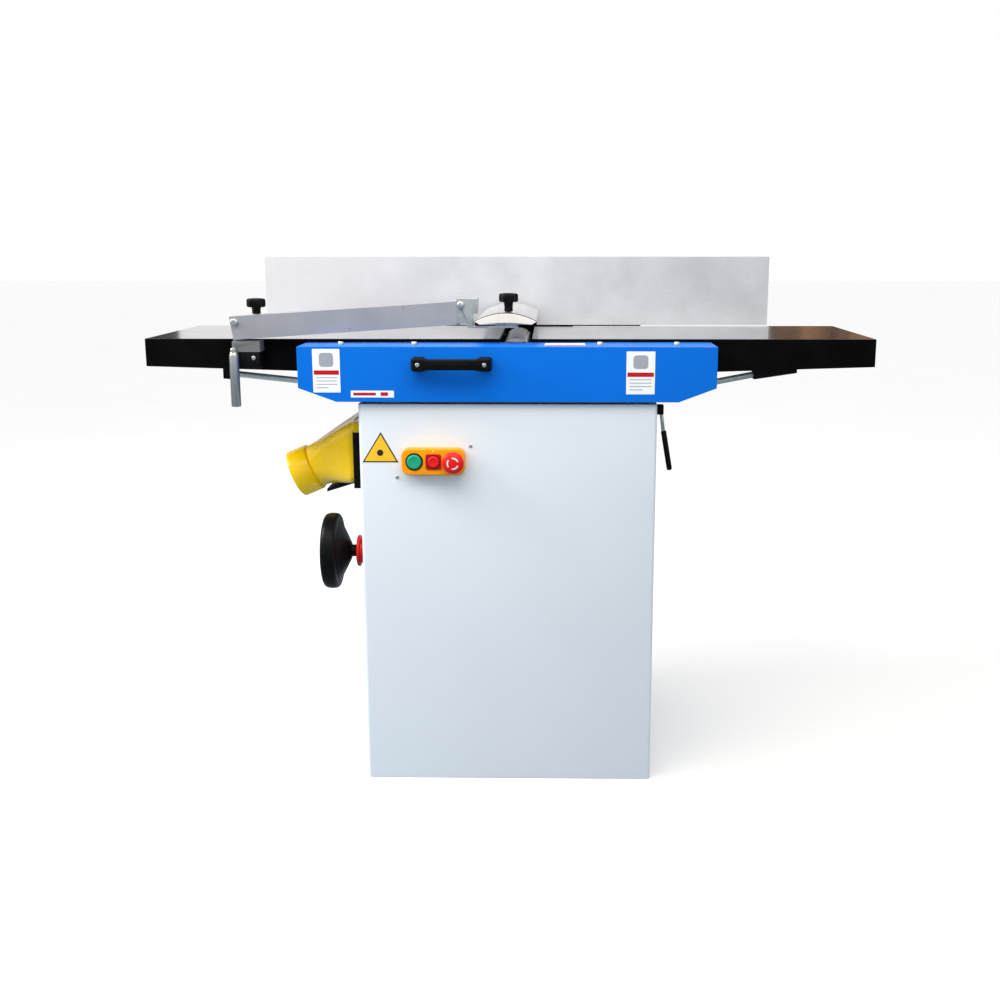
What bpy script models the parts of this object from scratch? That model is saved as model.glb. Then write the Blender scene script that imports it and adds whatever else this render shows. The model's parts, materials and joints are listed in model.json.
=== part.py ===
"""Jointer and thickness planer on a sheet cabinet: two flat tables over a cutterblock, a tilting fence,
a bridge guard, and a thicknessing table inside the cabinet.

Metres, +Z up. X runs along the tables, -Y is the operator's side, and the origin is on the floor under
the middle of the cabinet. Every piece is its own object. The pieces of a moving group hang from an
empty that sits on the group's joint axis.
"""

import math

import bmesh
import bpy
from mathutils import Matrix, Vector

GAP = 0.0003                    # clearance between neighbouring pieces
SHEET = 0.003                   # cabinet and apron sheet metal
FAR = 0.02                      # how far a cutter runs past what it cuts
ALL_DEPTH = (-0.25, 0.25)       # a cutter through the whole machine in Y
FRONT_DEPTH = (-0.25, -0.10)    # and one through the guard's arm alone

# Tables
TABLE_TOP = 0.858
TABLE_END = 0.700               # half of the tables' total length
TABLE_FRONT = -0.155
TABLE_REAR = 0.215
TABLE_PLATE = 0.008
SKIRT = 0.008
SKIRT_END_Z = 0.805             # lower edge of the skirt at the tables' outer ends
SKIRT_MID_Z = 0.790             # and where it stops beside the cutter's frame
OUTFEED_SKIRT_X = -0.190
INFEED_SKIRT_X = 0.220
OUTFEED_LIP_X = -0.018
INFEED_LIP_X = 0.044
LIP = 0.006

# Cutterblock, feed rollers and their frame
CUTTER_X = 0.012
CUTTER_RADIUS = 0.0335
KNIFE_CIRCLE = 0.0348
CUTTER_Z = TABLE_TOP - 0.035
JOURNAL_RADIUS = 0.010          # of the cutterblock's shaft
BEARING_RADIUS = 0.0157
WORK_FRONT = -0.125             # the working width runs from here
WORK_REAR = 0.185               # to here
ROLLER_RADIUS = 0.020
ROLLER_Z = 0.807
ROLLER_X = {"left": -0.063, "right": 0.087}
PLATE_GAP = 0.003
PLATE_THICK = 0.018
FRAME_LOW = 0.7455
FRAME_TOP = 0.841

# Cabinet
CABINET_X = 0.278
CABINET_Y = 0.250
CABINET_TOP = 0.745
PASSAGE_Z = 0.556

# Apron
APRON_FRONT = -0.262
APRON_TOP = 0.852

# Hinge of the upper tables
HINGE_Y = 0.290
HINGE_Z = 0.790
HINGE_X = 0.200

# Fence
FENCE_FACE = 0.210
FENCE_LOW = 0.8605
FENCE_TOP = 1.0075
FENCE_X = (-0.546, 0.5545)
TILT_Y = 0.245
TILT_Z = 0.884

# Bridge guard
ARM_PIVOT = (-0.5155, 0.8915)
HEAD_PIVOT = (-0.0885, 0.9240)
ARM_Y = (-0.192, -0.158)
CLAMP_PIVOT = (-0.5170, 0.8400)
PROFILE_MID_X = -0.0045
PROFILE_HALF = 0.058
PROFILE_CROWN = 0.9102
PROFILE_DROP = 0.0165           # from the crown to the profile's edges

# Thicknessing table and its lift
LIFT_TOP = 0.560
COLUMN_Y = (WORK_FRONT + WORK_REAR) / 2
SCREW_X = -0.020
WHEEL_Y = -0.170
WHEEL_Z = 0.444

# Drive
MOTOR_X = -0.170
MOTOR_Z = 0.170
BELT_Y = (0.2095, 0.2245)

# Switch
SWITCH_FRONT = -0.2725
BUTTON_Z = 0.6402


# ------------------------------------------------------------------ shapes

def shape():
    return bmesh.new()


def tidy(bm):
    bmesh.ops.recalc_face_normals(bm, faces=bm.faces)
    return bm


def box(low, high, bevel=0.0):
    """A block from its lowest to its highest corner, its edges rounded off by bevel."""
    bm = shape()
    bmesh.ops.create_cube(bm, size=1)
    middle = (Vector(low) + Vector(high)) / 2
    size = Vector(high) - Vector(low)
    bmesh.ops.transform(bm, matrix=Matrix.LocRotScale(middle, None, size), verts=bm.verts)
    if bevel:
        bmesh.ops.bevel(bm, geom=bm.edges, offset=bevel, segments=2, profile=0.5, affect="EDGES")
    return tidy(bm)


def place(axis, u, v, along):
    """A point given across and along an axis: (y, z) across X, (x, z) across Y, (x, y) across Z."""
    if axis == "X":
        return Vector((along, u, v))
    if axis == "Y":
        return Vector((u, along, v))
    return Vector((u, v, along))


def skin(rings, closed):
    """Faces between rings of points. A ring of one point is a tip. Closed joins the last to the first."""
    bm = shape()
    loops = [[bm.verts.new(p) for p in ring] for ring in rings]
    pairs = list(zip(loops, loops[1:]))
    if closed:
        pairs.append((loops[-1], loops[0]))
    for a, b in pairs:
        for i in range(max(len(a), len(b))):
            corners = [a[i % len(a)], a[(i + 1) % len(a)], b[(i + 1) % len(b)], b[i % len(b)]]
            bm.faces.new(list(dict.fromkeys(corners)))
    if not closed:
        for loop in (loops[0], loops[-1]):
            if len(loop) > 1:
                bm.faces.new(loop)
    return tidy(bm)


def prism(outline, axis, start, end):
    """An outline, as points across the axis, carried along it from start to end."""
    rings = [[place(axis, u, v, at) for u, v in outline] for at in (start, end)]
    return skin(rings, closed=False)


def circle(u, v, radius, segments, turn=0.0):
    steps = [turn + 2 * math.pi * i / segments for i in range(segments)]
    return [(u + radius * math.cos(t), v + radius * math.sin(t)) for t in steps]


def lathe(profile, axis, u, v, segments=20, closed=False):
    """A profile of (radius, along) turned round an axis through (u, v). Closed makes a ring of it."""
    rings = []
    for radius, along in profile:
        across = circle(u, v, radius, segments) if radius else [(u, v)]
        rings.append([place(axis, a, b, along) for a, b in across])
    return skin(rings, closed)


def cylinder(axis, u, v, radius, start, end, segments=20):
    return lathe([(radius, start), (radius, end)], axis, u, v, segments)


def tube(axis, u, v, inner, outer, start, end, segments=20):
    return lathe([(outer, start), (outer, end), (inner, end), (inner, start)], axis, u, v, segments, True)


def rod(start, end, radius, segments=12):
    """A round bar between two points."""
    start, end = Vector(start), Vector(end)
    turn = (end - start).to_track_quat("Z", "Y").to_matrix().to_4x4()
    bm = cylinder("Z", 0, 0, radius, 0, (end - start).length, segments)
    bmesh.ops.transform(bm, matrix=Matrix.Translation(start) @ turn, verts=bm.verts)
    return bm


def rounded(low, high, radius, steps=3):
    """A rectangle's outline with round corners."""
    corners = ((high[0] - radius, high[1] - radius, 0), (low[0] + radius, high[1] - radius, 1),
               (low[0] + radius, low[1] + radius, 2), (high[0] - radius, low[1] + radius, 3))
    points = []
    for u, v, quarter in corners:
        for i in range(steps + 1):
            t = math.pi / 2 * (quarter + i / steps)
            points.append((u + radius * math.cos(t), v + radius * math.sin(t)))
    return points


# ------------------------------------------------------------------ materials, bodies and pieces

def paint(name, colour, roughness, metallic):
    material = bpy.data.materials.new(name)
    material.use_nodes = True
    shader = material.node_tree.nodes["Principled BSDF"]
    shader.inputs["Base Color"].default_value = (*colour, 1)
    shader.inputs["Roughness"].default_value = roughness
    shader.inputs["Metallic"].default_value = metallic
    material.diffuse_color = (*colour, 1)
    return material


def body(name, pivot, parent=None):
    """An empty on a moving group's joint axis."""
    empty = bpy.data.objects.new("axis_" + name, None)
    bpy.context.scene.collection.objects.link(empty)
    empty.empty_display_size = 0.05
    empty.parent = parent
    world = Vector(pivot)
    empty["pivot"] = world
    empty.location = world - (Vector(parent["pivot"]) if parent else Vector())
    return empty


def mesh_object(name, bm, origin):
    bmesh.ops.translate(bm, vec=-origin, verts=bm.verts)
    mesh = bpy.data.meshes.new(name)
    bm.to_mesh(mesh)
    bm.free()
    mesh.shade_smooth()
    mesh.set_sharp_from_angle(angle=math.radians(35))
    obj = bpy.data.objects.new(name, mesh)
    bpy.context.scene.collection.objects.link(obj)
    return obj


def piece(name, material, group, *add, cut=()):
    """One sub-part: the shapes in add as one solid, less those in cut, hung from its group's empty."""
    origin = Vector(group["pivot"])
    obj = mesh_object(name, add[0], origin)
    obj.data.materials.append(material)
    obj.parent = group
    work = [("UNION", bm) for bm in add[1:]] + [("DIFFERENCE", bm) for bm in cut]
    for number, (operation, bm) in enumerate(work):
        helper = mesh_object(f"{name}_tool_{number}", bm, origin)
        helper.parent = group
        helper.hide_render = True
        helper.display_type = "WIRE"
        modifier = obj.modifiers.new(f"{operation.lower()}_{number}", "BOOLEAN")
        modifier.operation = operation
        modifier.solver = "EXACT"
        modifier.object = helper
    return obj


# ------------------------------------------------------------------ cabinet and what is fixed to it

def build_cabinet(group, m):
    """The sheet cabinet with its passage, base plate, rear cover and cable gland."""
    outer = rounded((-CABINET_X, -CABINET_Y), (CABINET_X, CABINET_Y), 0.006)
    inner_x, inner_y = CABINET_X - SHEET, CABINET_Y - SHEET
    window = (-0.170, 0.170, 0.070, 0.410)
    piece("cabinet_shell", m["cabinet"], group, prism(outer, "Z", 0, CABINET_TOP), cut=(
        box((-inner_x, -inner_y, -FAR), (inner_x, inner_y, CABINET_TOP - SHEET)),
        box((-0.245, -0.215, 0.7), (0.245, 0.217, CABINET_TOP + FAR)),
        box((-0.140, 0.200, 0.7), (0.070, inner_y - 0.001, CABINET_TOP + FAR)),
        box((-CABINET_X - FAR, -0.140, PASSAGE_Z), (CABINET_X + FAR, 0.200, CABINET_TOP + FAR)),
        box((window[0], inner_y - FAR, window[2]), (window[1], CABINET_Y + FAR, window[3])),
        cylinder("X", WHEEL_Y, WHEEL_Z, 0.0120, -CABINET_X - FAR, -inner_x + FAR),
        cylinder("X", -0.190, 0.728, 0.0066, inner_x - FAR, CABINET_X + FAR, 12),
    ))
    piece("base_plate", m["cabinet"], group,
          box((-inner_x + 0.0005, -inner_y + 0.0005, 0), (inner_x - 0.0005, inner_y - 0.0005, 0.006)))
    piece("rear_cover", m["cabinet"], group,
          box((-0.200, CABINET_Y + GAP, 0.040), (0.200, CABINET_Y + GAP + SHEET, 0.440), 0.001))
    piece("cable_gland", m["black_plastic"], group,
          tube("Y", 0.235, 0.120, 0.0050, 0.0120, CABINET_Y + GAP, 0.275, 16))


def build_hinges(group, m):
    """Two knuckles behind the cabinet, each with its pin, that the upper tables swing on."""
    outline = [(0.2503, 0.690), (0.2563, 0.690), (0.302, 0.780), (0.302, 0.800), (0.278, 0.800),
               (0.2503, 0.745)]
    for side, x in (("left", -HINGE_X), ("right", HINGE_X)):
        piece(f"hinge_bracket_{side}", m["black_metal"], group,
              box((x - 0.030, CABINET_Y + GAP, 0.660), (x + 0.030, 0.2563, 0.7445)),
              prism(outline, "X", x - 0.0165, x - 0.0065),
              prism(outline, "X", x + 0.0065, x + 0.0165),
              cylinder("X", HINGE_Y, HINGE_Z, 0.0060, x - 0.020, x + 0.020, 12))


def build_frame(group, m):
    """The cast frame on the cabinet that holds the cutterblock, the rollers and the kickback fingers."""
    front = WORK_FRONT - PLATE_GAP
    rear = WORK_REAR + PLATE_GAP
    left, right, leg = -0.170, 0.200, 0.040
    work_z = 0.784
    outline = [(left, FRAME_LOW), (left + leg, FRAME_LOW), (left + leg, work_z), (right - leg, work_z),
               (right - leg, FRAME_LOW), (right, FRAME_LOW), (right, FRAME_TOP), (left, FRAME_TOP)]
    journal = 0.0074
    holes = [cylinder("Y", x, ROLLER_Z, journal, *ALL_DEPTH, 12) for x in ROLLER_X.values()]
    piece("cutter_frame", m["cast_grey"], group,
          prism(outline, "Y", front - PLATE_THICK, front),
          prism(outline, "Y", rear, rear + PLATE_THICK),
          rod((-0.150, front - 0.005, 0.820), (-0.150, rear + 0.005, 0.820), 0.010),
          rod((0.180, front - 0.005, 0.820), (0.180, rear + 0.005, 0.820), 0.010),
          box((left - 0.001, -0.235, FRAME_LOW), (right + 0.001, front - 0.004, 0.757)),
          box((left - 0.001, rear + 0.004, FRAME_LOW), (left + leg, 0.240, 0.757)),
          box((right - leg, rear + 0.004, FRAME_LOW), (right + 0.001, 0.240, 0.757)),
          cut=(*holes,
               cylinder("Y", CUTTER_X, CUTTER_Z, BEARING_RADIUS + GAP, *ALL_DEPTH, 24),
               cylinder("Y", -0.105, 0.812, 0.0064, *ALL_DEPTH, 12),
               cylinder("Z", SCREW_X, WHEEL_Y, 0.0064, 0.7, 0.8, 12)))
    for end, y in (("front", front - 0.0155), ("rear", rear + 0.0025)):
        piece(f"{end}_bearing", m["steel"], group,
              tube("Y", CUTTER_X, CUTTER_Z, JOURNAL_RADIUS + GAP, BEARING_RADIUS, y, y + 0.013, 24))


def belt_loop(radius_high, radius_low, steps):
    """Points of a belt's path round the cutter's and the motor's pulleys."""
    high = Vector((CUTTER_X, CUTTER_Z))
    low = Vector((MOTOR_X, MOTOR_Z))
    line = high - low
    heading = math.atan2(line.y, line.x)
    lean = math.asin((radius_low - radius_high) / line.length)
    points = []
    for centre, radius, first, last in (
        (high, radius_high, heading - math.pi / 2 + lean, heading + math.pi / 2 - lean),
        (low, radius_low, heading + math.pi / 2 - lean, heading + 3 * math.pi / 2 + lean),
    ):
        for i in range(steps + 1):
            t = first + (last - first) * i / steps
            points.append((centre.x + radius * math.cos(t), centre.y + radius * math.sin(t)))
    return points


def build_drive(group, rotor_group, m):
    """The motor on its bracket, and the belt up to the cutterblock."""
    piece("motor_housing", m["motor"], group,
          lathe([(0, -0.100), (0.060, -0.100), (0.070, -0.090), (0.070, 0.130), (0.060, 0.140),
                 (0.0126, 0.140), (0.0126, 0.125), (0.046, 0.125), (0.046, -0.085), (0, -0.085)],
                "Y", MOTOR_X, MOTOR_Z, 24))
    piece("motor_bracket", m["black_metal"], group,
          prism([(-0.250, 0.0063), (-0.242, 0.0063), (-0.242, 0.0915), (-0.098, 0.0915), (-0.098, 0.0063),
                 (-0.090, 0.0063), (-0.090, 0.0995), (-0.250, 0.0995)], "Y", -0.080, 0.120))
    front, rear = BELT_Y
    thick, rim_high, rim_low = 0.004, 0.0255, 0.0456
    loops = []
    for more, y in ((thick, front), (thick, rear), (0, rear), (0, front)):
        path = belt_loop(rim_high + more, rim_low + more, 14)
        loops.append([place("Y", u, v, y) for u, v in path])
    piece("drive_belt", m["rubber"], group, skin(loops, closed=True))
    piece("motor_rotor", m["steel"], rotor_group,
          lathe([(0, -0.080), (0.012, -0.080), (0.012, -0.070), (0.0445, -0.070), (0.0445, 0.110),
                 (0.012, 0.110), (0.012, 0.2275), (0, 0.2275)], "Y", MOTOR_X, MOTOR_Z, 20))
    piece("motor_pulley", m["aluminium"], rotor_group,
          tube("Y", MOTOR_X, MOTOR_Z, 0.0124, 0.0450, front - 0.001, rear + 0.001, 24))


def build_cutterblock(group, m):
    """The cutterblock on its shaft, three knives in their slots, and its pulley."""
    knife_deep, slot_half, knife_half = 0.019, 0.0018, 0.0015
    front_end, shoulder, rear_end, pulley_seat = -0.1455, 0.2075, 0.2285, 0.008
    shaft = [(0, front_end), (JOURNAL_RADIUS, front_end), (JOURNAL_RADIUS, WORK_FRONT - 0.001),
             (CUTTER_RADIUS, WORK_FRONT), (CUTTER_RADIUS, WORK_REAR), (JOURNAL_RADIUS, WORK_REAR + 0.001),
             (JOURNAL_RADIUS, shoulder), (pulley_seat, shoulder), (pulley_seat, rear_end), (0, rear_end)]
    middle = Vector((CUTTER_X, 0, CUTTER_Z))

    def radial(half, inner, outer, start, end, turn):
        bm = box((-half, start, inner), (half, end, outer))
        spin = Matrix.Translation(middle) @ Matrix.Rotation(turn, 4, "Y")
        bmesh.ops.transform(bm, matrix=spin, verts=bm.verts)
        return bm

    turns = [math.radians(35 + 120 * i) for i in range(3)]
    slots = [radial(slot_half, knife_deep, 0.05, WORK_FRONT - 0.003, WORK_REAR + 0.003, t) for t in turns]
    piece("cutterblock", m["steel"], group, lathe(shaft, "Y", CUTTER_X, CUTTER_Z, 36), cut=slots)
    for number, turn in enumerate(turns, start=1):
        piece(f"knife_{number}", m["knife"], group,
              radial(knife_half, knife_deep + GAP, KNIFE_CIRCLE, WORK_FRONT + 0.001, WORK_REAR - 0.001, turn))
    piece("cutter_pulley", m["aluminium"], group,
          tube("Y", CUTTER_X, CUTTER_Z, pulley_seat + 0.0004, 0.0250, BELT_Y[0] - 0.001, BELT_Y[1] + 0.001, 24))


def build_rollers(groups, m):
    """The steel infeed roller and the rubber outfeed roller of the thicknesser."""
    journal = 0.007
    for side, x in ROLLER_X.items():
        material = m["steel"] if side == "left" else m["rubber"]
        profile = [(0, -0.1445), (journal, -0.1445), (journal, WORK_FRONT), (ROLLER_RADIUS, WORK_FRONT),
                   (ROLLER_RADIUS, WORK_REAR), (journal, WORK_REAR), (journal, 0.2045), (0, 0.2045)]
        piece(f"feed_roller_{side}", material, groups[side], lathe(profile, "Y", x, ROLLER_Z, 20))


def build_kickback(group, m):
    """A bar of fingers that swing up as a board goes under and dig in if it comes back."""
    top, low, fingers, share = 0.8135, 0.786, 12, 0.62
    pitch = (WORK_REAR - WORK_FRONT - 0.010) / fingers
    start = WORK_FRONT + 0.005
    outline = [(start, top)]
    for i in range(fingers):
        left = start + i * pitch
        outline += [(left, low), (left + share * pitch, low), (left + share * pitch, 0.803)]
        if i < fingers - 1:
            outline.append((left + pitch, 0.803))
    outline.append((start + (fingers - 1 + share) * pitch, top))
    piece("kickback_fingers", m["steel"], group,
          cylinder("Y", -0.105, 0.812, 0.006, -0.1445, 0.2045, 12),
          prism(outline, "X", -0.107, -0.103))


# ------------------------------------------------------------------ thicknessing table and lift

def build_lift(fixed, table, wheel, screw, m):
    """The thicknessing table on its column, and the handwheel, bevel cones and screw that raise it."""
    front, rear = WORK_FRONT, WORK_REAR
    piece("column_guide", m["cast_grey"], fixed,
          box((-0.2745, COLUMN_Y - 0.060, 0.270), (0.2745, COLUMN_Y + 0.060, 0.282)),
          cylinder("Z", 0, COLUMN_Y, 0.052, 0.2705, 0.500, 28),
          cut=(cylinder("Z", 0, COLUMN_Y, 0.0407, 0.2, 0.6, 28),))
    piece("gear_bracket", m["black_metal"], fixed,
          box((-0.075, -0.2467, 0.404), (0.020, -0.140, 0.414)),
          box((-0.075, -0.200, 0.405), (-0.066, -0.140, 0.470)),
          cut=(cylinder("Z", SCREW_X, WHEEL_Y, 0.0064, 0.3, 0.43, 12),
               cylinder("X", WHEEL_Y, WHEEL_Z, 0.0094, -0.1, -0.05, 16)))
    rib = 0.010
    piece("thickness_table", m["ground_iron"], table,
          box((-0.262, front, 0.515), (0.262, rear, LIFT_TOP)),
          box((-0.050, -0.190, 0.503), (0.010, front + 0.005, 0.523)),
          cut=(box((-0.262 + rib, front + rib, 0.5), (-0.060, rear - rib, 0.545)),
               box((0.060, front + rib, 0.5), (0.262 - rib, rear - rib, 0.545)),
               cylinder("Z", SCREW_X, WHEEL_Y, 0.0084, 0.5, 0.54, 16)))
    piece("lift_column", m["steel"], table,
          tube("Z", 0, COLUMN_Y, 0.030, 0.040, 0.165, 0.515 - GAP, 28))

    shaft, teeth_out, teeth_in, clear = 0.009, 0.026, 0.016, 0.0004
    piece("handwheel_shaft", m["steel"], wheel,
          lathe([(0, -0.3270), (shaft, -0.3270), (shaft, -0.060), (0.013, -0.060), (0.013, -0.050),
                 (teeth_out, SCREW_X - teeth_out - clear), (teeth_in, SCREW_X - teeth_in - clear),
                 (0, SCREW_X - teeth_in - clear)], "X", WHEEL_Y, WHEEL_Z, 20))
    thread, journal = 0.008, 0.006
    piece("lift_screw", m["steel"], screw,
          lathe([(0, 0.405), (journal, 0.405), (journal, 0.4155), (thread, 0.4155),
                 (thread, WHEEL_Z + teeth_in + clear), (teeth_in, WHEEL_Z + teeth_in + clear),
                 (teeth_out, WHEEL_Z + teeth_out + clear), (0.013, 0.476), (0.013, 0.486), (thread, 0.486),
                 (thread, 0.7445), (journal, 0.7445), (journal, 0.7565), (0, 0.7565)],
                "Z", SCREW_X, WHEEL_Y, 20))
    piece("handwheel_flange", m["red_plastic"], fixed,
          lathe([(0.0094, -0.2985), (0.029, -0.2985), (0.031, -0.2970), (0.031, -0.2940), (0.029, -0.2925),
                 (0.024, -0.2925), (0.024, -CABINET_X - GAP), (0.0094, -CABINET_X - GAP)],
                "X", WHEEL_Y, WHEEL_Z, 28, True))
    piece("handwheel", m["black_plastic"], wheel,
          lathe([(0.0094, -0.3290), (0.017, -0.3290), (0.054, -0.349), (0.0590, -0.358), (0.0660, -0.3625),
                 (0.0725, -0.3595), (0.0745, -0.3500), (0.0735, -0.3400), (0.0680, -0.3345), (0.0600, -0.3350),
                 (0.0220, -0.3140), (0.017, -0.3110), (0.012, -0.3105), (0.012, -0.2990), (0.0094, -0.2990)],
                "X", WHEEL_Y, WHEEL_Z, 36, True))


# ------------------------------------------------------------------ switch, hood and lock

def build_switch(fixed, groups, m):
    """The switch box with its start, stop and emergency buttons."""
    buttons = {"start": (-0.1728, 0.0136, m["green_plastic"]), "stop": (-0.1370, 0.0110, m["red_plastic"])}
    deep, rear, proud = -0.2615, -0.2655, -0.2770
    stop_x, stem, head = -0.0998, 0.0090, 0.0203
    pockets = [cylinder("Y", x, BUTTON_Z, r + 0.0004, SWITCH_FRONT - FAR, deep, 20)
               for x, r, _ in buttons.values()]
    pockets.append(cylinder("Y", stop_x, BUTTON_Z, stem + 0.0004, SWITCH_FRONT - FAR, deep, 20))
    outline = rounded((-0.1972, 0.6145), (-0.0788, 0.6645), 0.014, 5)
    piece("switch_housing", m["switch"], fixed,
          prism(outline, "Y", SWITCH_FRONT, -CABINET_Y - GAP), cut=pockets)
    for name, (x, radius, material) in buttons.items():
        piece(f"{name}_button", material, groups[name],
              lathe([(0, proud), (radius - 0.002, proud), (radius, proud + 0.0015), (radius, rear), (0, rear)],
                    "Y", x, BUTTON_Z, 20))
    piece("emergency_button", m["red_plastic"], groups["emergency"],
          lathe([(0, -0.2915), (0.012, -0.2910), (0.0185, -0.2885), (head, -0.2850), (head, -0.2820),
                 (stem, -0.2800), (stem, rear), (0, rear)], "Y", stop_x, BUTTON_Z, 24))


def hood_ring(middle, lean, wide, high, power, count=28):
    """A ring between a circle (power 2) and a rectangle (a higher power), leaning back from upright."""
    ring = []
    for i in range(count):
        t = 2 * math.pi * (i + 0.5) / count
        c, s = math.cos(t), math.sin(t)
        across = wide * math.copysign(abs(c) ** (2 / power), c)
        up = high * math.copysign(abs(s) ** (2 / power), s)
        ring.append(Vector(middle) + Vector((-math.sin(lean) * up, across, math.cos(lean) * up)))
    return ring


def build_hood(group, m):
    """The dust hood over the left end of the passage: a black frame, and a yellow shell with a round port."""
    front, rear = -0.110, 0.170
    middle = (front + rear) / 2
    lean, wall = math.radians(23.3), 0.003
    root = Vector((-0.3128, middle, 0.6285))
    neck = Vector((-0.4156, middle, 0.5763))
    along = Vector((-math.cos(lean), 0, -math.sin(lean)))
    mouth = neck + 0.0435 * along
    half = (rear - front) / 2

    def ring(at, tilt, wide, high, power, inset):
        return hood_ring(at, tilt, wide - inset, high - inset, power)

    stations = [(root, 0, half, 0.0635, 9), (root.lerp(neck, 0.12), lean * 0.1, half * 0.97, 0.0625, 7),
                (root.lerp(neck, 0.72), lean * 0.8, 0.066, 0.0480, 3), (neck, lean, 0.0450, 0.0450, 2)]
    outer = [ring(*station, 0) for station in stations]
    outer += [ring(at, lean, 0.0495, 0.0495, 2, 0) for at in (neck + 0.001 * along, mouth)]
    inner = [ring(mouth, lean, 0.0455, 0.0455, 2, 0)]
    inner += [ring(*station, wall) for station in reversed(stations)]
    piece("hood_shell", m["hood"], group, skin(outer + inner, closed=True),
          box((-0.3140, front, 0.6690), (-CABINET_X - GAP, rear, 0.6900)))
    piece("hood_base", m["black_metal"], group,
          box((-0.3125, front, 0.5565), (-0.2790, rear, 0.6685)),
          box((-0.2820, -0.146, 0.5565), (-CABINET_X - GAP, 0.206, 0.6685)),
          prism([(-0.385, 0.5300), (-0.300, 0.5570), (-0.300, 0.5630), (-0.3115, 0.5625), (-0.385, 0.5365)],
                "Y", middle - 0.045, middle + 0.045),
          cut=(box((-0.32, front + 0.008, 0.5635), (-0.27, rear - 0.008, 0.6605)),))


def build_lock(group, m):
    """The lever on the right that locks the tables down."""
    y, z = -0.190, 0.728
    piece("lock_lever", m["black_plastic"], group,
          cylinder("X", y, z, 0.0060, 0.240, 0.2795, 12),
          box((CABINET_X + GAP, y - 0.0095, z - 0.0095), (0.2945, y + 0.0095, z + 0.0095), 0.002),
          rod((0.2905, y, z - 0.004), (0.2958, y, 0.683), 0.0040, 10),
          rod((0.2955, y, 0.686), (0.3090, y, 0.611), 0.0052, 12))


# ------------------------------------------------------------------ tables

def table_outline(outer, skirt_x, lip_x):
    """Side view of a table, from its outer end to its lip at the cutter."""
    under = TABLE_TOP - TABLE_PLATE
    inward = 1 if outer < 0 else -1
    return [(outer, TABLE_TOP), (outer, SKIRT_END_Z), (skirt_x, SKIRT_MID_Z), (skirt_x, under),
            (lip_x - 0.012 * inward, under), (lip_x, TABLE_TOP - LIP), (lip_x, TABLE_TOP)]


def pockets(outer, skirt_x, ribs):
    """The hollows under a table, between its skirt and its cross ribs."""
    low, high = sorted((outer, skirt_x))
    walls = [low + SKIRT / 2, *ribs, high - SKIRT / 2]
    under = TABLE_TOP - TABLE_PLATE
    return [box((a + SKIRT / 2, TABLE_FRONT + SKIRT, 0.7), (b - SKIRT / 2, TABLE_REAR - SKIRT, under))
            for a, b in zip(walls, walls[1:])]


def build_brace(name, group, m, block, high, low, top):
    """A pair of round struts from blocks under a table in to a hanger under the table's cross rib."""
    y_pair = (-0.110, 0.170)
    radius = 0.006
    rods = [rod((high[0], y, high[1]), (low[0], y, low[1]), radius) for y in y_pair]
    blocks = [prism(block, "Y", y - 0.016, y + 0.016) for y in y_pair]
    hanger = box((low[0] - 0.006, y_pair[0] - 0.012, low[1] - 0.009), (low[0] + 0.006, y_pair[1] + 0.012, top))
    piece(name, m["zinc"], group, hanger, *rods, *blocks)


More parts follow.
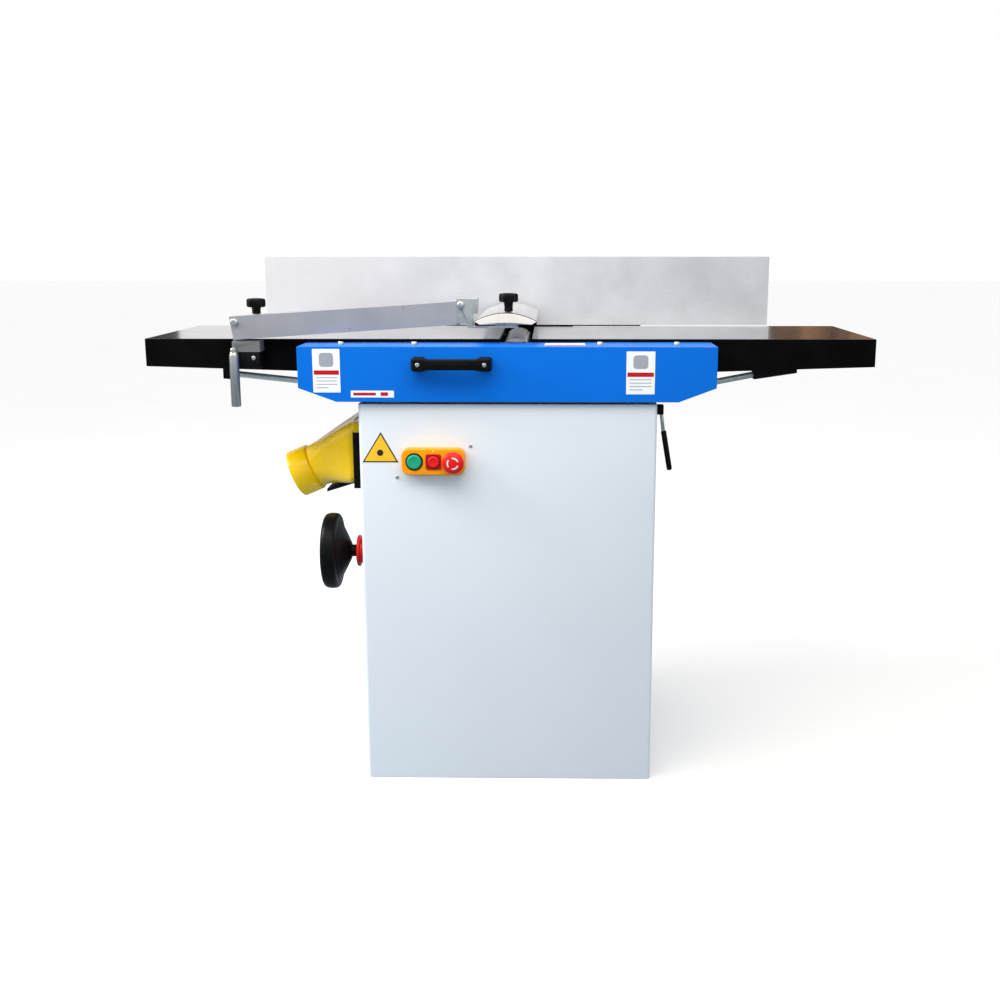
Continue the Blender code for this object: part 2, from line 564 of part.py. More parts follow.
def build_tables(group, infeed, m):
    """Both tables with their struts, the apron and its handle, and the rear beam that the hinges hold."""
    plan = (("outfeed_table", group, -TABLE_END, OUTFEED_SKIRT_X, OUTFEED_LIP_X, (-0.585, -0.345)),
            ("infeed_table", infeed, TABLE_END, INFEED_SKIRT_X, INFEED_LIP_X, (0.345, 0.585)))
    for name, owner, outer, skirt_x, lip_x, ribs in plan:
        piece(name, m["table"], owner,
              prism(table_outline(outer, skirt_x, lip_x), "Y", TABLE_FRONT, TABLE_REAR),
              cut=pockets(outer, skirt_x, ribs))
    under = TABLE_TOP - TABLE_PLATE - GAP
    build_brace("outfeed_brace", group, m,
                [(-0.560, 0.778), (-0.536, 0.776), (-0.536, under), (-0.560, under)],
                (-0.5480, 0.7870), (-0.3450, 0.7657), 0.7940)
    build_brace("infeed_brace", infeed, m,
                [(0.4747, 0.7778), (0.5577, 0.7903), (0.5577, under), (0.4747, under)],
                (0.4780, 0.7865), (0.3450, 0.7605), 0.7934)

    outer = [(-0.386, APRON_TOP), (-0.386, 0.776), (-0.316, 0.7505), (0.3155, 0.7505), (0.385, 0.7765),
             (0.385, APRON_TOP)]
    inner = [(-0.383, 0.849), (-0.383, 0.7781), (-0.3155, 0.7538), (-0.3155, 0.73), (0.315, 0.73),
             (0.315, 0.7538), (0.382, 0.7786), (0.382, 0.849)]
    piece("apron", m["apron"], group,
          prism(outer, "Y", APRON_FRONT, TABLE_FRONT - 0.0006),
          cut=(prism(inner, "Y", APRON_FRONT + SHEET, TABLE_FRONT + FAR),))
    left, right, foot, proud = -0.1732, -0.0272, 0.022, -0.300
    grip = [(left, APRON_FRONT - GAP), (left, proud + 0.008), (left + 0.008, proud), (right - 0.008, proud),
            (right, proud + 0.008), (right, APRON_FRONT - GAP), (right - foot, APRON_FRONT - GAP),
            (right - foot - 0.004, proud + 0.014), (left + foot + 0.004, proud + 0.014),
            (left + foot, APRON_FRONT - GAP)]
    piece("grab_handle", m["black_plastic"], group, prism(grip, "Z", 0.810, 0.8346))

    pad_z = (0.795, 0.845)
    ear = cylinder("X", HINGE_Y, HINGE_Z, 0.013, -HINGE_X - 0.006, -HINGE_X + 0.006, 16)
    ear_two = cylinder("X", HINGE_Y, HINGE_Z, 0.013, HINGE_X - 0.006, HINGE_X + 0.006, 16)
    arms = [box((x - 0.006, 0.256, 0.7905), (x + 0.006, HINGE_Y, 0.8025)) for x in (-HINGE_X, HINGE_X)]
    piece("rear_beam", m["black_metal"], group,
          box((-0.260, 0.2335, 0.790), (0.280, 0.262, 0.852)),
          box((-0.155, 0.2345, 0.850), (0.279, 0.261, 0.8595)),
          box((-0.259, TABLE_REAR + GAP, pad_z[0]), (-0.195, 0.235, pad_z[1])),
          box((0.225, TABLE_REAR + GAP, pad_z[0]), (0.279, 0.235, pad_z[1])),
          ear, ear_two, *arms,
          cut=(cylinder("X", HINGE_Y, HINGE_Z, 0.0064, -0.25, 0.25, 16),))


# ------------------------------------------------------------------ fence

def build_fence(support, carriage, fence, lock, knob, m):
    """The fence on a bar that slides through its support, with a tilt joint and two clamps."""
    bar_x, bar_z = (0.040, 0.100), (0.8603, 0.8743)
    guide_x, guide_y = (0.010, 0.130), (0.2625, 0.345)
    strap = 0.884
    piece("fence_support", m["black_metal"], support,
          box((guide_x[0], guide_y[0], 0.835), (guide_x[1], guide_y[1], strap)),
          cut=(box((bar_x[0] - GAP, guide_y[0] - FAR, bar_z[0] - GAP), (bar_x[1] + GAP, 0.4, bar_z[1] + GAP)),
               box((bar_x[0] - GAP, guide_y[0] - FAR, bar_z[0]), (bar_x[1] + GAP, 0.300, strap + FAR))))
    ear_r = 0.010
    ears = []
    for low, high in ((bar_x[0], bar_x[0] + 0.012), (bar_x[1] - 0.012, bar_x[1])):
        ears.append(cylinder("X", TILT_Y, TILT_Z, ear_r, low, high, 16))
        ears.append(box((low, TILT_Y - ear_r, bar_z[1] - 0.001), (high, TILT_Y + ear_r, TILT_Z)))
    piece("fence_slide", m["zinc"], carriage,
          box((bar_x[0], 0.220, bar_z[0]), (bar_x[1], 0.500, bar_z[1])), *ears,
          cut=(cylinder("X", TILT_Y, TILT_Z, 0.0044, 0, 0.15, 12),))

    plate, deep, rib = 0.005, 0.025, 0.004
    shelves = (0.9080, 0.9560, FENCE_TOP - rib)
    outline = [(FENCE_FACE, FENCE_TOP), (FENCE_FACE, FENCE_LOW), (FENCE_FACE + plate, FENCE_LOW)]
    for z in shelves:
        outline += [(FENCE_FACE + plate, z), (FENCE_FACE + deep, z), (FENCE_FACE + deep, z + rib)]
        if z + rib < FENCE_TOP:
            outline.append((FENCE_FACE + plate, z + rib))
    lug_x = (0.056, 0.084)
    piece("fence_plate", m["fence"], fence,
          prism(outline, "X", *FENCE_X),
          box((lug_x[0], FENCE_FACE + 0.001, TILT_Z - 0.008), (lug_x[1], TILT_Y, TILT_Z + 0.008)),
          cylinder("X", TILT_Y, TILT_Z, 0.008, *lug_x, 16),
          cut=(cylinder("X", TILT_Y, TILT_Z, 0.0044, 0, 0.15, 12),))
    piece("tilt_knob", m["black_plastic"], knob,
          cylinder("X", TILT_Y, TILT_Z, 0.0040, 0.0395, 0.106, 12),
          prism(lobed(TILT_Y, TILT_Z, 0.0145), "X", 0.1035, 0.122))

    hub_x, hub_y, grip_z = 0.070, 0.3225, 0.909
    piece("fence_lock_lever", m["black_plastic"], lock,
          cylinder("Z", hub_x, hub_y, 0.012, strap + GAP, 0.904, 16),
          rod((hub_x, hub_y, 0.897), (hub_x + 0.075, hub_y, 0.908), 0.005, 10),
          lathe([(0, hub_x + 0.070), (0.008, hub_x + 0.072), (0.011, hub_x + 0.080), (0.008, hub_x + 0.088),
                 (0, hub_x + 0.090)], "X", hub_y, grip_z, 12))


# ------------------------------------------------------------------ bridge guard

def lobed(u, v, radius, lobes=6, depth=0.10):
    """Outline of a star knob."""
    points = []
    for i in range(lobes * 4):
        t = 2 * math.pi * i / (lobes * 4)
        r = radius * (1 - depth / 2 + depth / 2 * math.cos(lobes * t))
        points.append((u + r * math.cos(t), v + r * math.sin(t)))
    return points


def star_knob(name, group, m, x, y, foot, top):
    """A star knob on a tapered stem."""
    cap = top - 0.0165
    piece(name, m["black_plastic"], group,
          prism(lobed(x, y, 0.0182), "Z", cap, top),
          lathe([(0.0060, foot), (0.0085, foot + 0.003), (0.0100, cap + 0.002)], "Z", x, y, 16))


def arch(x, drop_scale, crown):
    """Height of the guard's arched top at x."""
    return crown - drop_scale * ((x - PROFILE_MID_X) / PROFILE_HALF) ** 2


def build_guard(fixed, arm, head, slide, clamp, arm_knob, profile_knob, m):
    """The bridge guard: an arm on a block at the table's front, and an arched profile over the cutter."""
    front, rear = ARM_Y
    pivot_x, pivot_z = ARM_PIVOT
    piece("guard_mount", m["black_metal"], fixed,
          box((-0.523, -0.190, 0.8037), (-0.4714, TABLE_FRONT - GAP, 0.8355), 0.002))
    piece("guard_block", m["cast_grey"], fixed,
          box((-0.5225, front, 0.8358), (-0.4699, TABLE_FRONT - 0.0005, 0.8556)),
          box((-0.5215, front + 0.007, 0.850), (-0.507, rear - 0.007, 0.8982)),
          cut=(cylinder("Y", pivot_x, pivot_z, 0.0043, *FRONT_DEPTH, 12),
               cylinder("Y", *CLAMP_PIVOT, 0.0033, -0.25, -0.160, 12)))
    piece("arm_pivot_bolt", m["zinc"], fixed,
          cylinder("Y", pivot_x, pivot_z, 0.0040, -0.194, -0.156, 12),
          cylinder("Y", pivot_x, pivot_z, 0.0070, -0.1985, front - GAP, 6))
    skin_t = 0.003
    hole_z = HEAD_PIVOT[1]
    piece("guard_arm", m["arm"], arm,
          prism([(-0.5258, 0.9020), (-0.5189, 0.8587), (-0.0905, 0.8877), (-0.0830, 0.9314)], "Y", front, rear),
          cut=(prism([(-0.60, 0.8943), (-0.60, 0.84), (-0.06, 0.84), (-0.06, 0.9300)], "Y",
                     front + skin_t, rear - skin_t),
               cylinder("Y", pivot_x, pivot_z, 0.0043, *FRONT_DEPTH, 12),
               cylinder("Y", HEAD_PIVOT[0], hole_z, 0.0043, *FRONT_DEPTH, 12)))
    star_knob("arm_knob", arm_knob, m, -0.477, -0.175, 0.9062, 0.9354)

    post_y, post_radius = -0.2015, 0.0090
    post_x, post_top, post_low = -0.5172, 0.8310, 0.7335
    piece("guard_clamp_lever", m["post"], clamp,
          lathe([(0, post_low), (post_radius - 0.001, post_low), (post_radius, post_low + 0.001),
                 (post_radius, post_top), (0.0060, post_top + 0.007), (0, post_top + 0.007)],
                "Z", post_x, post_y, 20),
          cylinder("Y", *CLAMP_PIVOT, 0.0050, post_y - 0.0075, -0.1925, 16),
          cylinder("Y", *CLAMP_PIVOT, 0.0030, -0.200, -0.165, 12))

    head_x = HEAD_PIVOT[0]
    piece("guard_bracket", m["zinc"], head,
          box((-0.0967, -0.1955, 0.8895), (-0.0730, front - GAP, 0.9361)),
          box((-0.0762, -0.1955, 0.8815), (-0.0660, rear, 0.9361)),
          box((-0.0670, -0.1955, 0.9080), (-0.0569, rear, 0.9361)),
          box((-0.0762, front, 0.8815), (0.0180, rear, 0.8850)),
          box((-0.0240, front + 0.002, 0.8840), (0.0150, rear - 0.002, 0.9004)),
          cylinder("Y", head_x, hole_z, 0.0040, -0.1940, rear + 0.002, 12),
          lathe([(0, -0.2000), (0.004, -0.1995), (0.0065, -0.1970), (0.0065, -0.1950), (0, -0.1950)],
                "Y", head_x, hole_z, 12))

    xs = [PROFILE_MID_X + PROFILE_HALF * (i / 6 - 1) for i in range(13)]
    crown, drop, hollow, lip = PROFILE_CROWN, PROFILE_DROP, 0.0060, 0.0074
    upper = [(x, arch(x, drop, crown)) for x in xs]
    under = [(x, arch(x, drop - 0.0015, crown - hollow)) for x in reversed(xs)]
    outline = upper + [(xs[-1], upper[-1][1] - lip)] + under[1:-1] + [(xs[0], upper[0][1] - lip)]
    piece("guard_profile", m["profile"], slide, prism(outline, "Y", -0.1980, 0.1850))
    cap_top = [(x, arch(x, drop - 0.0015, crown - 0.0015)) for x in xs]
    cap = cap_top + [(x, arch(x, 0.0050, 0.8915)) for x in reversed(xs[1:-1])]
    piece("guard_end_cap", m["end_cap"], slide, prism(cap, "Y", -0.2035, -0.1980 - GAP))
    star_knob("profile_knob", profile_knob, m, 0.0, -0.165, crown + GAP, 0.9447)


# ------------------------------------------------------------------ the whole machine

def palette():
    colours = {
        "cabinet": ((0.70, 0.76, 0.80), 0.45, 0.0),
        "apron": ((0.008, 0.165, 0.68), 0.38, 0.0),
        "table": ((0.020, 0.020, 0.021), 0.35, 0.2),
        "ground_iron": ((0.42, 0.42, 0.43), 0.35, 1.0),
        "cast_grey": ((0.16, 0.16, 0.16), 0.55, 0.3),
        "black_metal": ((0.018, 0.018, 0.019), 0.45, 0.2),
        "steel": ((0.50, 0.50, 0.51), 0.32, 1.0),
        "knife": ((0.62, 0.62, 0.63), 0.20, 1.0),
        "aluminium": ((0.66, 0.66, 0.67), 0.35, 1.0),
        "fence": ((0.68, 0.69, 0.72), 0.38, 0.9),
        "arm": ((0.52, 0.53, 0.55), 0.36, 0.9),
        "profile": ((0.72, 0.72, 0.73), 0.34, 0.9),
        "end_cap": ((0.70, 0.66, 0.58), 0.50, 0.0),
        "post": ((0.55, 0.56, 0.58), 0.34, 0.9),
        "zinc": ((0.56, 0.57, 0.56), 0.36, 0.9),
        "black_plastic": ((0.012, 0.012, 0.013), 0.42, 0.0),
        "rubber": ((0.020, 0.020, 0.020), 0.75, 0.0),
        "motor": ((0.05, 0.06, 0.07), 0.50, 0.2),
        "switch": ((0.86, 0.42, 0.04), 0.40, 0.0),
        "hood": ((0.86, 0.60, 0.01), 0.32, 0.0),
        "red_plastic": ((0.68, 0.015, 0.015), 0.35, 0.0),
        "green_plastic": ((0.02, 0.33, 0.14), 0.35, 0.0),
    }
    return {name: paint(name, *values) for name, values in colours.items()}


def clear_scene():
    for obj in list(bpy.data.objects):
        bpy.data.objects.remove(obj, do_unlink=True)


def main():
    clear_scene()
    m = palette()
    cabinet = body("cabinet", (0, 0, 0))
    tables = body("tables", (0, HINGE_Y, HINGE_Z), cabinet)
    infeed = body("infeed_table", (0.4, 0, TABLE_TOP), tables)
    carriage = body("fence_carriage", (0.07, 0.3, 0.8673), tables)
    fence = body("fence", (0.07, TILT_Y, TILT_Z), carriage)
    fence_lock = body("fence_lock", (0.07, 0.3225, 0.9), tables)
    tilt_knob = body("tilt_knob", (0.11, TILT_Y, TILT_Z), carriage)
    arm = body("guard_arm", (ARM_PIVOT[0], -0.175, ARM_PIVOT[1]), tables)
    head = body("guard_head", (HEAD_PIVOT[0], -0.175, HEAD_PIVOT[1]), arm)
    slide = body("guard_slide", (PROFILE_MID_X, 0, 0.9), head)
    arm_knob = body("arm_knob", (-0.477, -0.175, 0.92), arm)
    profile_knob = body("profile_knob", (0.0, -0.165, 0.93), slide)
    clamp = body("guard_clamp", (CLAMP_PIVOT[0], -0.2015, CLAMP_PIVOT[1]), tables)
    cutter = body("cutterblock", (CUTTER_X, COLUMN_Y, CUTTER_Z), cabinet)
    rotor = body("motor_rotor", (MOTOR_X, 0, MOTOR_Z), cabinet)
    rollers = {side: body(f"roller_{side}", (x, COLUMN_Y, ROLLER_Z), cabinet) for side, x in ROLLER_X.items()}
    kickback = body("kickback", (-0.105, COLUMN_Y, 0.812), cabinet)
    lift = body("thickness_table", (0, COLUMN_Y, LIFT_TOP), cabinet)
    wheel = body("handwheel", (-0.346, WHEEL_Y, WHEEL_Z), cabinet)
    screw = body("lift_screw", (SCREW_X, WHEEL_Y, 0.58), cabinet)
    hood = body("dust_hood", (-0.3, COLUMN_Y, 0.62), cabinet)
    lock = body("lock_lever", (0.2865, -0.190, 0.728), cabinet)
    buttons = {
        "start": body("start_button", (-0.1728, SWITCH_FRONT, BUTTON_Z), cabinet),
        "stop": body("stop_button", (-0.1370, SWITCH_FRONT, BUTTON_Z), cabinet),
        "emergency": body("emergency_button", (-0.0998, SWITCH_FRONT, BUTTON_Z), cabinet),
    }

    build_cabinet(cabinet, m)
    build_hinges(cabinet, m)
    build_frame(cabinet, m)
    build_drive(cabinet, rotor, m)
    build_cutterblock(cutter, m)
    build_rollers(rollers, m)
    build_kickback(kickback, m)
    build_lift(cabinet, lift, wheel, screw, m)
    build_switch(cabinet, buttons, m)
    build_hood(hood, m)
    build_lock(lock, m)
    build_tables(tables, infeed, m)
    build_fence(tables, carriage, fence, fence_lock, tilt_knob, m)
    build_guard(tables, arm, head, slide, clamp, arm_knob, profile_knob, m)


main()
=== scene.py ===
"""The look of the jointer: finishes on every surface, fine pieces, floor, lights and camera."""

import json
import math

import bmesh
import bpy
from mathutils import Matrix, Vector

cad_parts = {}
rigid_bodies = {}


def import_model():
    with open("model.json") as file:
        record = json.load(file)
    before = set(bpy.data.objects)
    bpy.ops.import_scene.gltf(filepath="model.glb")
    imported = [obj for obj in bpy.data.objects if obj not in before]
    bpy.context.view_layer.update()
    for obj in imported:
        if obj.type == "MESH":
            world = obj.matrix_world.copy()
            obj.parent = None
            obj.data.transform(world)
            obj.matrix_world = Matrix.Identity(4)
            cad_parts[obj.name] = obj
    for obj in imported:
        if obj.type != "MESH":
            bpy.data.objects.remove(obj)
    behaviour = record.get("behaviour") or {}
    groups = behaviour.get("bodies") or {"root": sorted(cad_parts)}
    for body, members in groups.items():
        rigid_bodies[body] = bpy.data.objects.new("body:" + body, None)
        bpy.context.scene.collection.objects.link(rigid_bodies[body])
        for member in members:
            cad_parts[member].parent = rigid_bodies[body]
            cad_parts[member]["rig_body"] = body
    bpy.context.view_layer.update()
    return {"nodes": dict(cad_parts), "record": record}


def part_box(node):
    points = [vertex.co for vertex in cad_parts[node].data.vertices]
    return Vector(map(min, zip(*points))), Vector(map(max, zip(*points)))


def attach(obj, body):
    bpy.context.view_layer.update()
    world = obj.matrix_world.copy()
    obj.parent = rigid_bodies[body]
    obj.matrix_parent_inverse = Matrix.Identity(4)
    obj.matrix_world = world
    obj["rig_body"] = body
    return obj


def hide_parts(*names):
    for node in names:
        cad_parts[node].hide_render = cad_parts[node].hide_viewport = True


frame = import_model()
nodes = frame["nodes"]


# ------------------------------------------------------------------ materials

def link(tree, source, target):
    tree.links.new(source, target)


def noise(tree, scale, detail=4.0, stretch=(1, 1, 1), rough=0.6):
    """A noise in the object's own space, drawn out along the axes whose stretch is small."""
    place = tree.nodes.new("ShaderNodeTexCoord")
    mapping = tree.nodes.new("ShaderNodeMapping")
    mapping.inputs["Scale"].default_value = stretch
    texture = tree.nodes.new("ShaderNodeTexNoise")
    texture.inputs["Scale"].default_value = scale
    texture.inputs["Detail"].default_value = detail
    texture.inputs["Roughness"].default_value = rough
    link(tree, place.outputs["Object"], mapping.inputs["Vector"])
    link(tree, mapping.outputs["Vector"], texture.inputs["Vector"])
    return texture.outputs["Fac"]


def spread(tree, source, low, high, start=0.3, end=0.7):
    """A noise's range made into low to high."""
    node = tree.nodes.new("ShaderNodeMapRange")
    node.inputs["From Min"].default_value = start
    node.inputs["From Max"].default_value = end
    node.inputs["To Min"].default_value = low
    node.inputs["To Max"].default_value = high
    link(tree, source, node.inputs["Value"])
    return node.outputs["Result"]


def mix(tree, factor, low, high):
    """Two colours, or colour outputs, mixed by a factor."""
    node = tree.nodes.new("ShaderNodeMix")
    node.data_type = "RGBA"
    link(tree, factor, node.inputs["Factor"])
    for value, socket in ((low, node.inputs["A"]), (high, node.inputs["B"])):
        if isinstance(value, bpy.types.NodeSocket):
            link(tree, value, socket)
        else:
            socket.default_value = (*value, 1)
    return node.outputs["Result"]


def bump(tree, *layers):
    """Bumps laid one on another. A layer is a height and how deep it is, in metres."""
    normal = None
    for height, depth in layers:
        node = tree.nodes.new("ShaderNodeBump")
        node.inputs["Strength"].default_value = 1.0
        node.inputs["Distance"].default_value = depth
        link(tree, height, node.inputs["Height"])
        if normal:
            link(tree, normal, node.inputs["Normal"])
        normal = node.outputs["Normal"]
    return normal


def shade(colour, times):
    return tuple(min(1.0, c * times) for c in colour)


def edge_wear(tree, reach=0.0014):
    """1 within reach of an edge, broken up by noise."""
    rounding = tree.nodes.new("ShaderNodeBevel")
    rounding.samples = 4
    rounding.inputs["Radius"].default_value = reach
    geometry = tree.nodes.new("ShaderNodeNewGeometry")
    agree = tree.nodes.new("ShaderNodeVectorMath")
    agree.operation = "DOT_PRODUCT"
    link(tree, rounding.outputs["Normal"], agree.inputs[0])
    link(tree, geometry.outputs["Normal"], agree.inputs[1])
    edges = spread(tree, agree.outputs["Value"], 1, 0, 0.90, 0.99)
    patches = spread(tree, noise(tree, 60), 0, 0.8, 0.42, 0.62)
    node = tree.nodes.new("ShaderNodeMath")
    node.operation = "MULTIPLY"
    link(tree, edges, node.inputs[0])
    link(tree, patches, node.inputs[1])
    return node.outputs["Value"]


def surface(name):
    material = bpy.data.materials.new(name)
    material.use_nodes = True
    tree = material.node_tree
    return material, tree, tree.nodes["Principled BSDF"]


def painted(name, colour, roughness, peel=0.00003, coat=0.0, vary=0.05, worn=None, grain=900, gloss=0.4):
    """Paint or powder coat: slow colour drift, orange peel, fine dust, and worn edges."""
    material, tree, shader = surface(name)
    drift = spread(tree, noise(tree, 5, 3), 0, 1)
    base = mix(tree, drift, shade(colour, 1 - vary), shade(colour, 1 + vary))
    specks = spread(tree, noise(tree, 260, 2), 0, 0.5, 0.64, 0.72)
    base = mix(tree, specks, base, shade(colour, 0.82))
    if worn:
        base = mix(tree, edge_wear(tree), base, worn)
    link(tree, base, shader.inputs["Base Color"])
    smears = spread(tree, noise(tree, 14, 5), roughness - 0.06, roughness + 0.09)
    link(tree, smears, shader.inputs["Roughness"])
    link(tree, bump(tree, (noise(tree, grain, 2), peel), (noise(tree, 7, 2), 0.00010)),
         shader.inputs["Normal"])
    shader.inputs["Specular IOR Level"].default_value = gloss
    shader.inputs["Coat Weight"].default_value = coat
    shader.inputs["Coat Roughness"].default_value = 0.12
    return material


def brushed(name, colour, roughness, along, metallic=1.0, depth=0.000012, vary=0.08, scratch=0.3, left=None):
    """Metal with a fine grain along one axis, stray scratches, finger marks and maybe a painted highlight
    that lightens the left end.
    """
    material, tree, shader = surface(name)
    stretch = tuple(0.02 if axis == along else 1.0 for axis in "XYZ")
    grain = noise(tree, 1400, 3, stretch)
    broad = spread(tree, noise(tree, 9, 4), 0, 1)
    base = mix(tree, broad, shade(colour, 1 - vary), shade(colour, 1 + vary))
    lines = spread(tree, grain, 0, 0.5, 0.35, 0.75)
    base = mix(tree, lines, base, shade(colour, 0.80))
    # Painted highlight: the left end takes the lighter left colour, fading into the base colour by 38% of the
    # length.
    if left:
        place = tree.nodes.new("ShaderNodeTexCoord")
        split = tree.nodes.new("ShaderNodeSeparateXYZ")
        link(tree, place.outputs["Generated"], split.inputs["Vector"])
        base = mix(tree, spread(tree, split.outputs["X"], 0, 1, 0.02, 0.38), left, base)
    stray = tuple(0.05 if axis != along else 0.6 for axis in "XYZ")
    scratches = spread(tree, noise(tree, 420, 2, stray), 0, scratch, 0.67, 0.72)
    base = mix(tree, scratches, base, shade(colour, 1.3))
    link(tree, base, shader.inputs["Base Color"])
    link(tree, spread(tree, grain, roughness - 0.07, roughness + 0.10), shader.inputs["Roughness"])
    link(tree, bump(tree, (grain, depth), (noise(tree, 12, 2), 0.0001)), shader.inputs["Normal"])
    shader.inputs["Metallic"].default_value = metallic
    return material


def plated(name, colour, roughness, metallic=1.0):
    """Zinc plate or plain steel: cloudy patches and a faint crystalline grain."""
    material, tree, shader = surface(name)
    clouds = spread(tree, noise(tree, 35, 5), 0, 1, 0.35, 0.65)
    base = mix(tree, clouds, shade(colour, 0.86), shade(colour, 1.10))
    pits = spread(tree, noise(tree, 500, 2), 0, 0.7, 0.66, 0.72)
    base = mix(tree, pits, base, shade(colour, 0.55))
    link(tree, base, shader.inputs["Base Color"])
    link(tree, spread(tree, noise(tree, 60, 4), roughness - 0.07, roughness + 0.12),
         shader.inputs["Roughness"])
    link(tree, bump(tree, (noise(tree, 700, 2), 0.00002)), shader.inputs["Normal"])
    shader.inputs["Metallic"].default_value = metallic
    return material


def moulded(name, colour, roughness, texture=0.00004, coat=0.0, vary=0.06, scale=1100, gloss=0.4):
    """Moulded plastic: a fine texture, faint flow marks and scuffs."""
    material, tree, shader = surface(name)
    flow = spread(tree, noise(tree, 18, 3, (1, 1, 0.3)), 0, 1)
    base = mix(tree, flow, shade(colour, 1 - vary), shade(colour, 1 + vary))
    scuffs = spread(tree, noise(tree, 90, 3, (0.2, 1, 1)), 0, 0.35, 0.66, 0.74)
    pale = tuple(0.85 * c + 0.05 for c in colour)
    base = mix(tree, scuffs, base, pale)
    link(tree, base, shader.inputs["Base Color"])
    link(tree, spread(tree, noise(tree, 40, 4), roughness - 0.05, roughness + 0.10),
         shader.inputs["Roughness"])
    link(tree, bump(tree, (noise(tree, scale, 2), texture), (noise(tree, 25, 2), 0.00008)),
         shader.inputs["Normal"])
    shader.inputs["Specular IOR Level"].default_value = gloss
    shader.inputs["Coat Weight"].default_value = coat
    shader.inputs["Coat Roughness"].default_value = 0.08
    return material


def table_finish(name):
    """Black painted casting whose upward faces are ground bright."""
    material, tree, shader = surface(name)
    place = tree.nodes.new("ShaderNodeTexCoord")
    split = tree.nodes.new("ShaderNodeSeparateXYZ")
    link(tree, place.outputs["Normal"], split.inputs["Vector"])
    facing = spread(tree, split.outputs["Z"], 0, 1, 0.90, 0.97)
    where = tree.nodes.new("ShaderNodeSeparateXYZ")
    link(tree, place.outputs["Object"], where.inputs["Vector"])
    high = spread(tree, where.outputs["Z"], 0, 1, 0.8566, 0.8574)
    top = tree.nodes.new("ShaderNodeMath")
    top.operation = "MULTIPLY"
    link(tree, facing, top.inputs[0])
    link(tree, high, top.inputs[1])
    top = top.outputs["Value"]
    grind = noise(tree, 900, 3, (0.02, 1, 1))
    stains = spread(tree, noise(tree, 11, 5), 0, 1, 0.35, 0.7)
    steel = mix(tree, stains, (0.34, 0.34, 0.35), (0.44, 0.44, 0.45))
    steel = mix(tree, spread(tree, grind, 0, 0.4), steel, (0.31, 0.31, 0.32))
    paint = mix(tree, spread(tree, noise(tree, 30, 4), 0, 1), (0.0020, 0.0018, 0.0020),
                (0.0036, 0.0034, 0.0036))
    link(tree, mix(tree, top, paint, steel), shader.inputs["Base Color"])
    link(tree, top, shader.inputs["Metallic"])
    blend = tree.nodes.new("ShaderNodeMix")
    link(tree, top, blend.inputs["Factor"])
    link(tree, spread(tree, noise(tree, 20, 4), 0.26, 0.40), blend.inputs["A"])
    link(tree, spread(tree, grind, 0.10, 0.20), blend.inputs["B"])
    link(tree, blend.outputs["Result"], shader.inputs["Roughness"])
    link(tree, bump(tree, (grind, 0.000004), (noise(tree, 500, 2), 0.00001)), shader.inputs["Normal"])
    shader.inputs["Specular IOR Level"].default_value = 0.03
    return material


finishes = {
    "cabinet": painted("cabinet_coat", (0.715, 0.765, 0.810), 0.48, 0.00004, vary=0.012,
                       worn=(0.62, 0.67, 0.72),
                       gloss=0.25),
    "apron": painted("apron_coat", (0.0035, 0.142, 0.630), 0.36, 0.00003, vary=0.03, worn=(0.02, 0.22, 0.72),
                     gloss=0.05),
    "table": table_finish("table_casting"),
    "ground_iron": brushed("ground_iron_top", (0.48, 0.48, 0.49), 0.30, "X"),
    "cast_grey": painted("rough_casting", (0.15, 0.15, 0.155), 0.55, 0.00015, vary=0.18, grain=350),
    "black_metal": painted("black_paint", (0.005, 0.005, 0.0055), 0.38, 0.00004, vary=0.2,
                           worn=(0.07, 0.07, 0.07),
                           gloss=0.10),
    "steel": brushed("turned_steel", (0.52, 0.52, 0.53), 0.28, "Y"),
    "knife": brushed("ground_knife", (0.66, 0.66, 0.67), 0.16, "Y"),
    "aluminium": brushed("cast_aluminium", (0.66, 0.66, 0.67), 0.34, "Y"),
    # The fence's lighter left end is a painted highlight.
    "fence": brushed("fence_silver", (0.62, 0.64, 0.68), 0.40, "X", metallic=0.75, vary=0.12, scratch=0.15,
                     left=(0.69, 0.69, 0.73)),
    "arm": brushed("arm_silver", (0.47, 0.48, 0.52), 0.38, "X", metallic=0.85, vary=0.12),
    "profile": brushed("profile_aluminium", (0.56, 0.55, 0.56), 0.30, "Y", metallic=0.9),
    "end_cap": moulded("cream_cap", (0.70, 0.66, 0.57), 0.45),
    "post": brushed("post_silver", (0.40, 0.42, 0.43), 0.34, "Z", metallic=0.9),
    "zinc": plated("zinc_plate", (0.50, 0.54, 0.54), 0.30, metallic=0.85),
    "black_plastic": moulded("black_knob_plastic", (0.004, 0.004, 0.0045), 0.34, 0.00005, vary=0.25,
                             gloss=0.07),
    "rubber": moulded("black_rubber", (0.020, 0.020, 0.020), 0.72, 0.00010, vary=0.15),
    "motor": painted("motor_grey", (0.045, 0.052, 0.062), 0.45, 0.00006, vary=0.12),
    "switch": moulded("switch_orange", (0.93, 0.33, 0.004), 0.34, 0.00002, gloss=0.12),
    "hood": moulded("hood_yellow", (0.96, 0.61, 0.002), 0.22, 0.00001, vary=0.03, gloss=0.35),
    "red_plastic": moulded("red_gloss", (0.70, 0.012, 0.012), 0.28, 0.00001, gloss=0.25),
    "green_plastic": moulded("green_gloss", (0.012, 0.36, 0.20), 0.28, 0.00001, gloss=0.25),
}
white_print = moulded("label_white", (0.80, 0.82, 0.84), 0.40, 0.00001, vary=0.03)
red_print = moulded("label_red", (0.46, 0.008, 0.012), 0.40, 0.00001, gloss=0.15)
strut_zinc = plated("strut_zinc", (0.66, 0.72, 0.68), 0.36, metallic=0.45)
grey_print = moulded("label_grey", (0.30, 0.33, 0.38), 0.45, 0.00001)
black_print = moulded("label_black", (0.012, 0.012, 0.013), 0.45, 0.00001)
yellow_print = moulded("label_yellow", (0.88, 0.53, 0.02), 0.38, 0.00001)
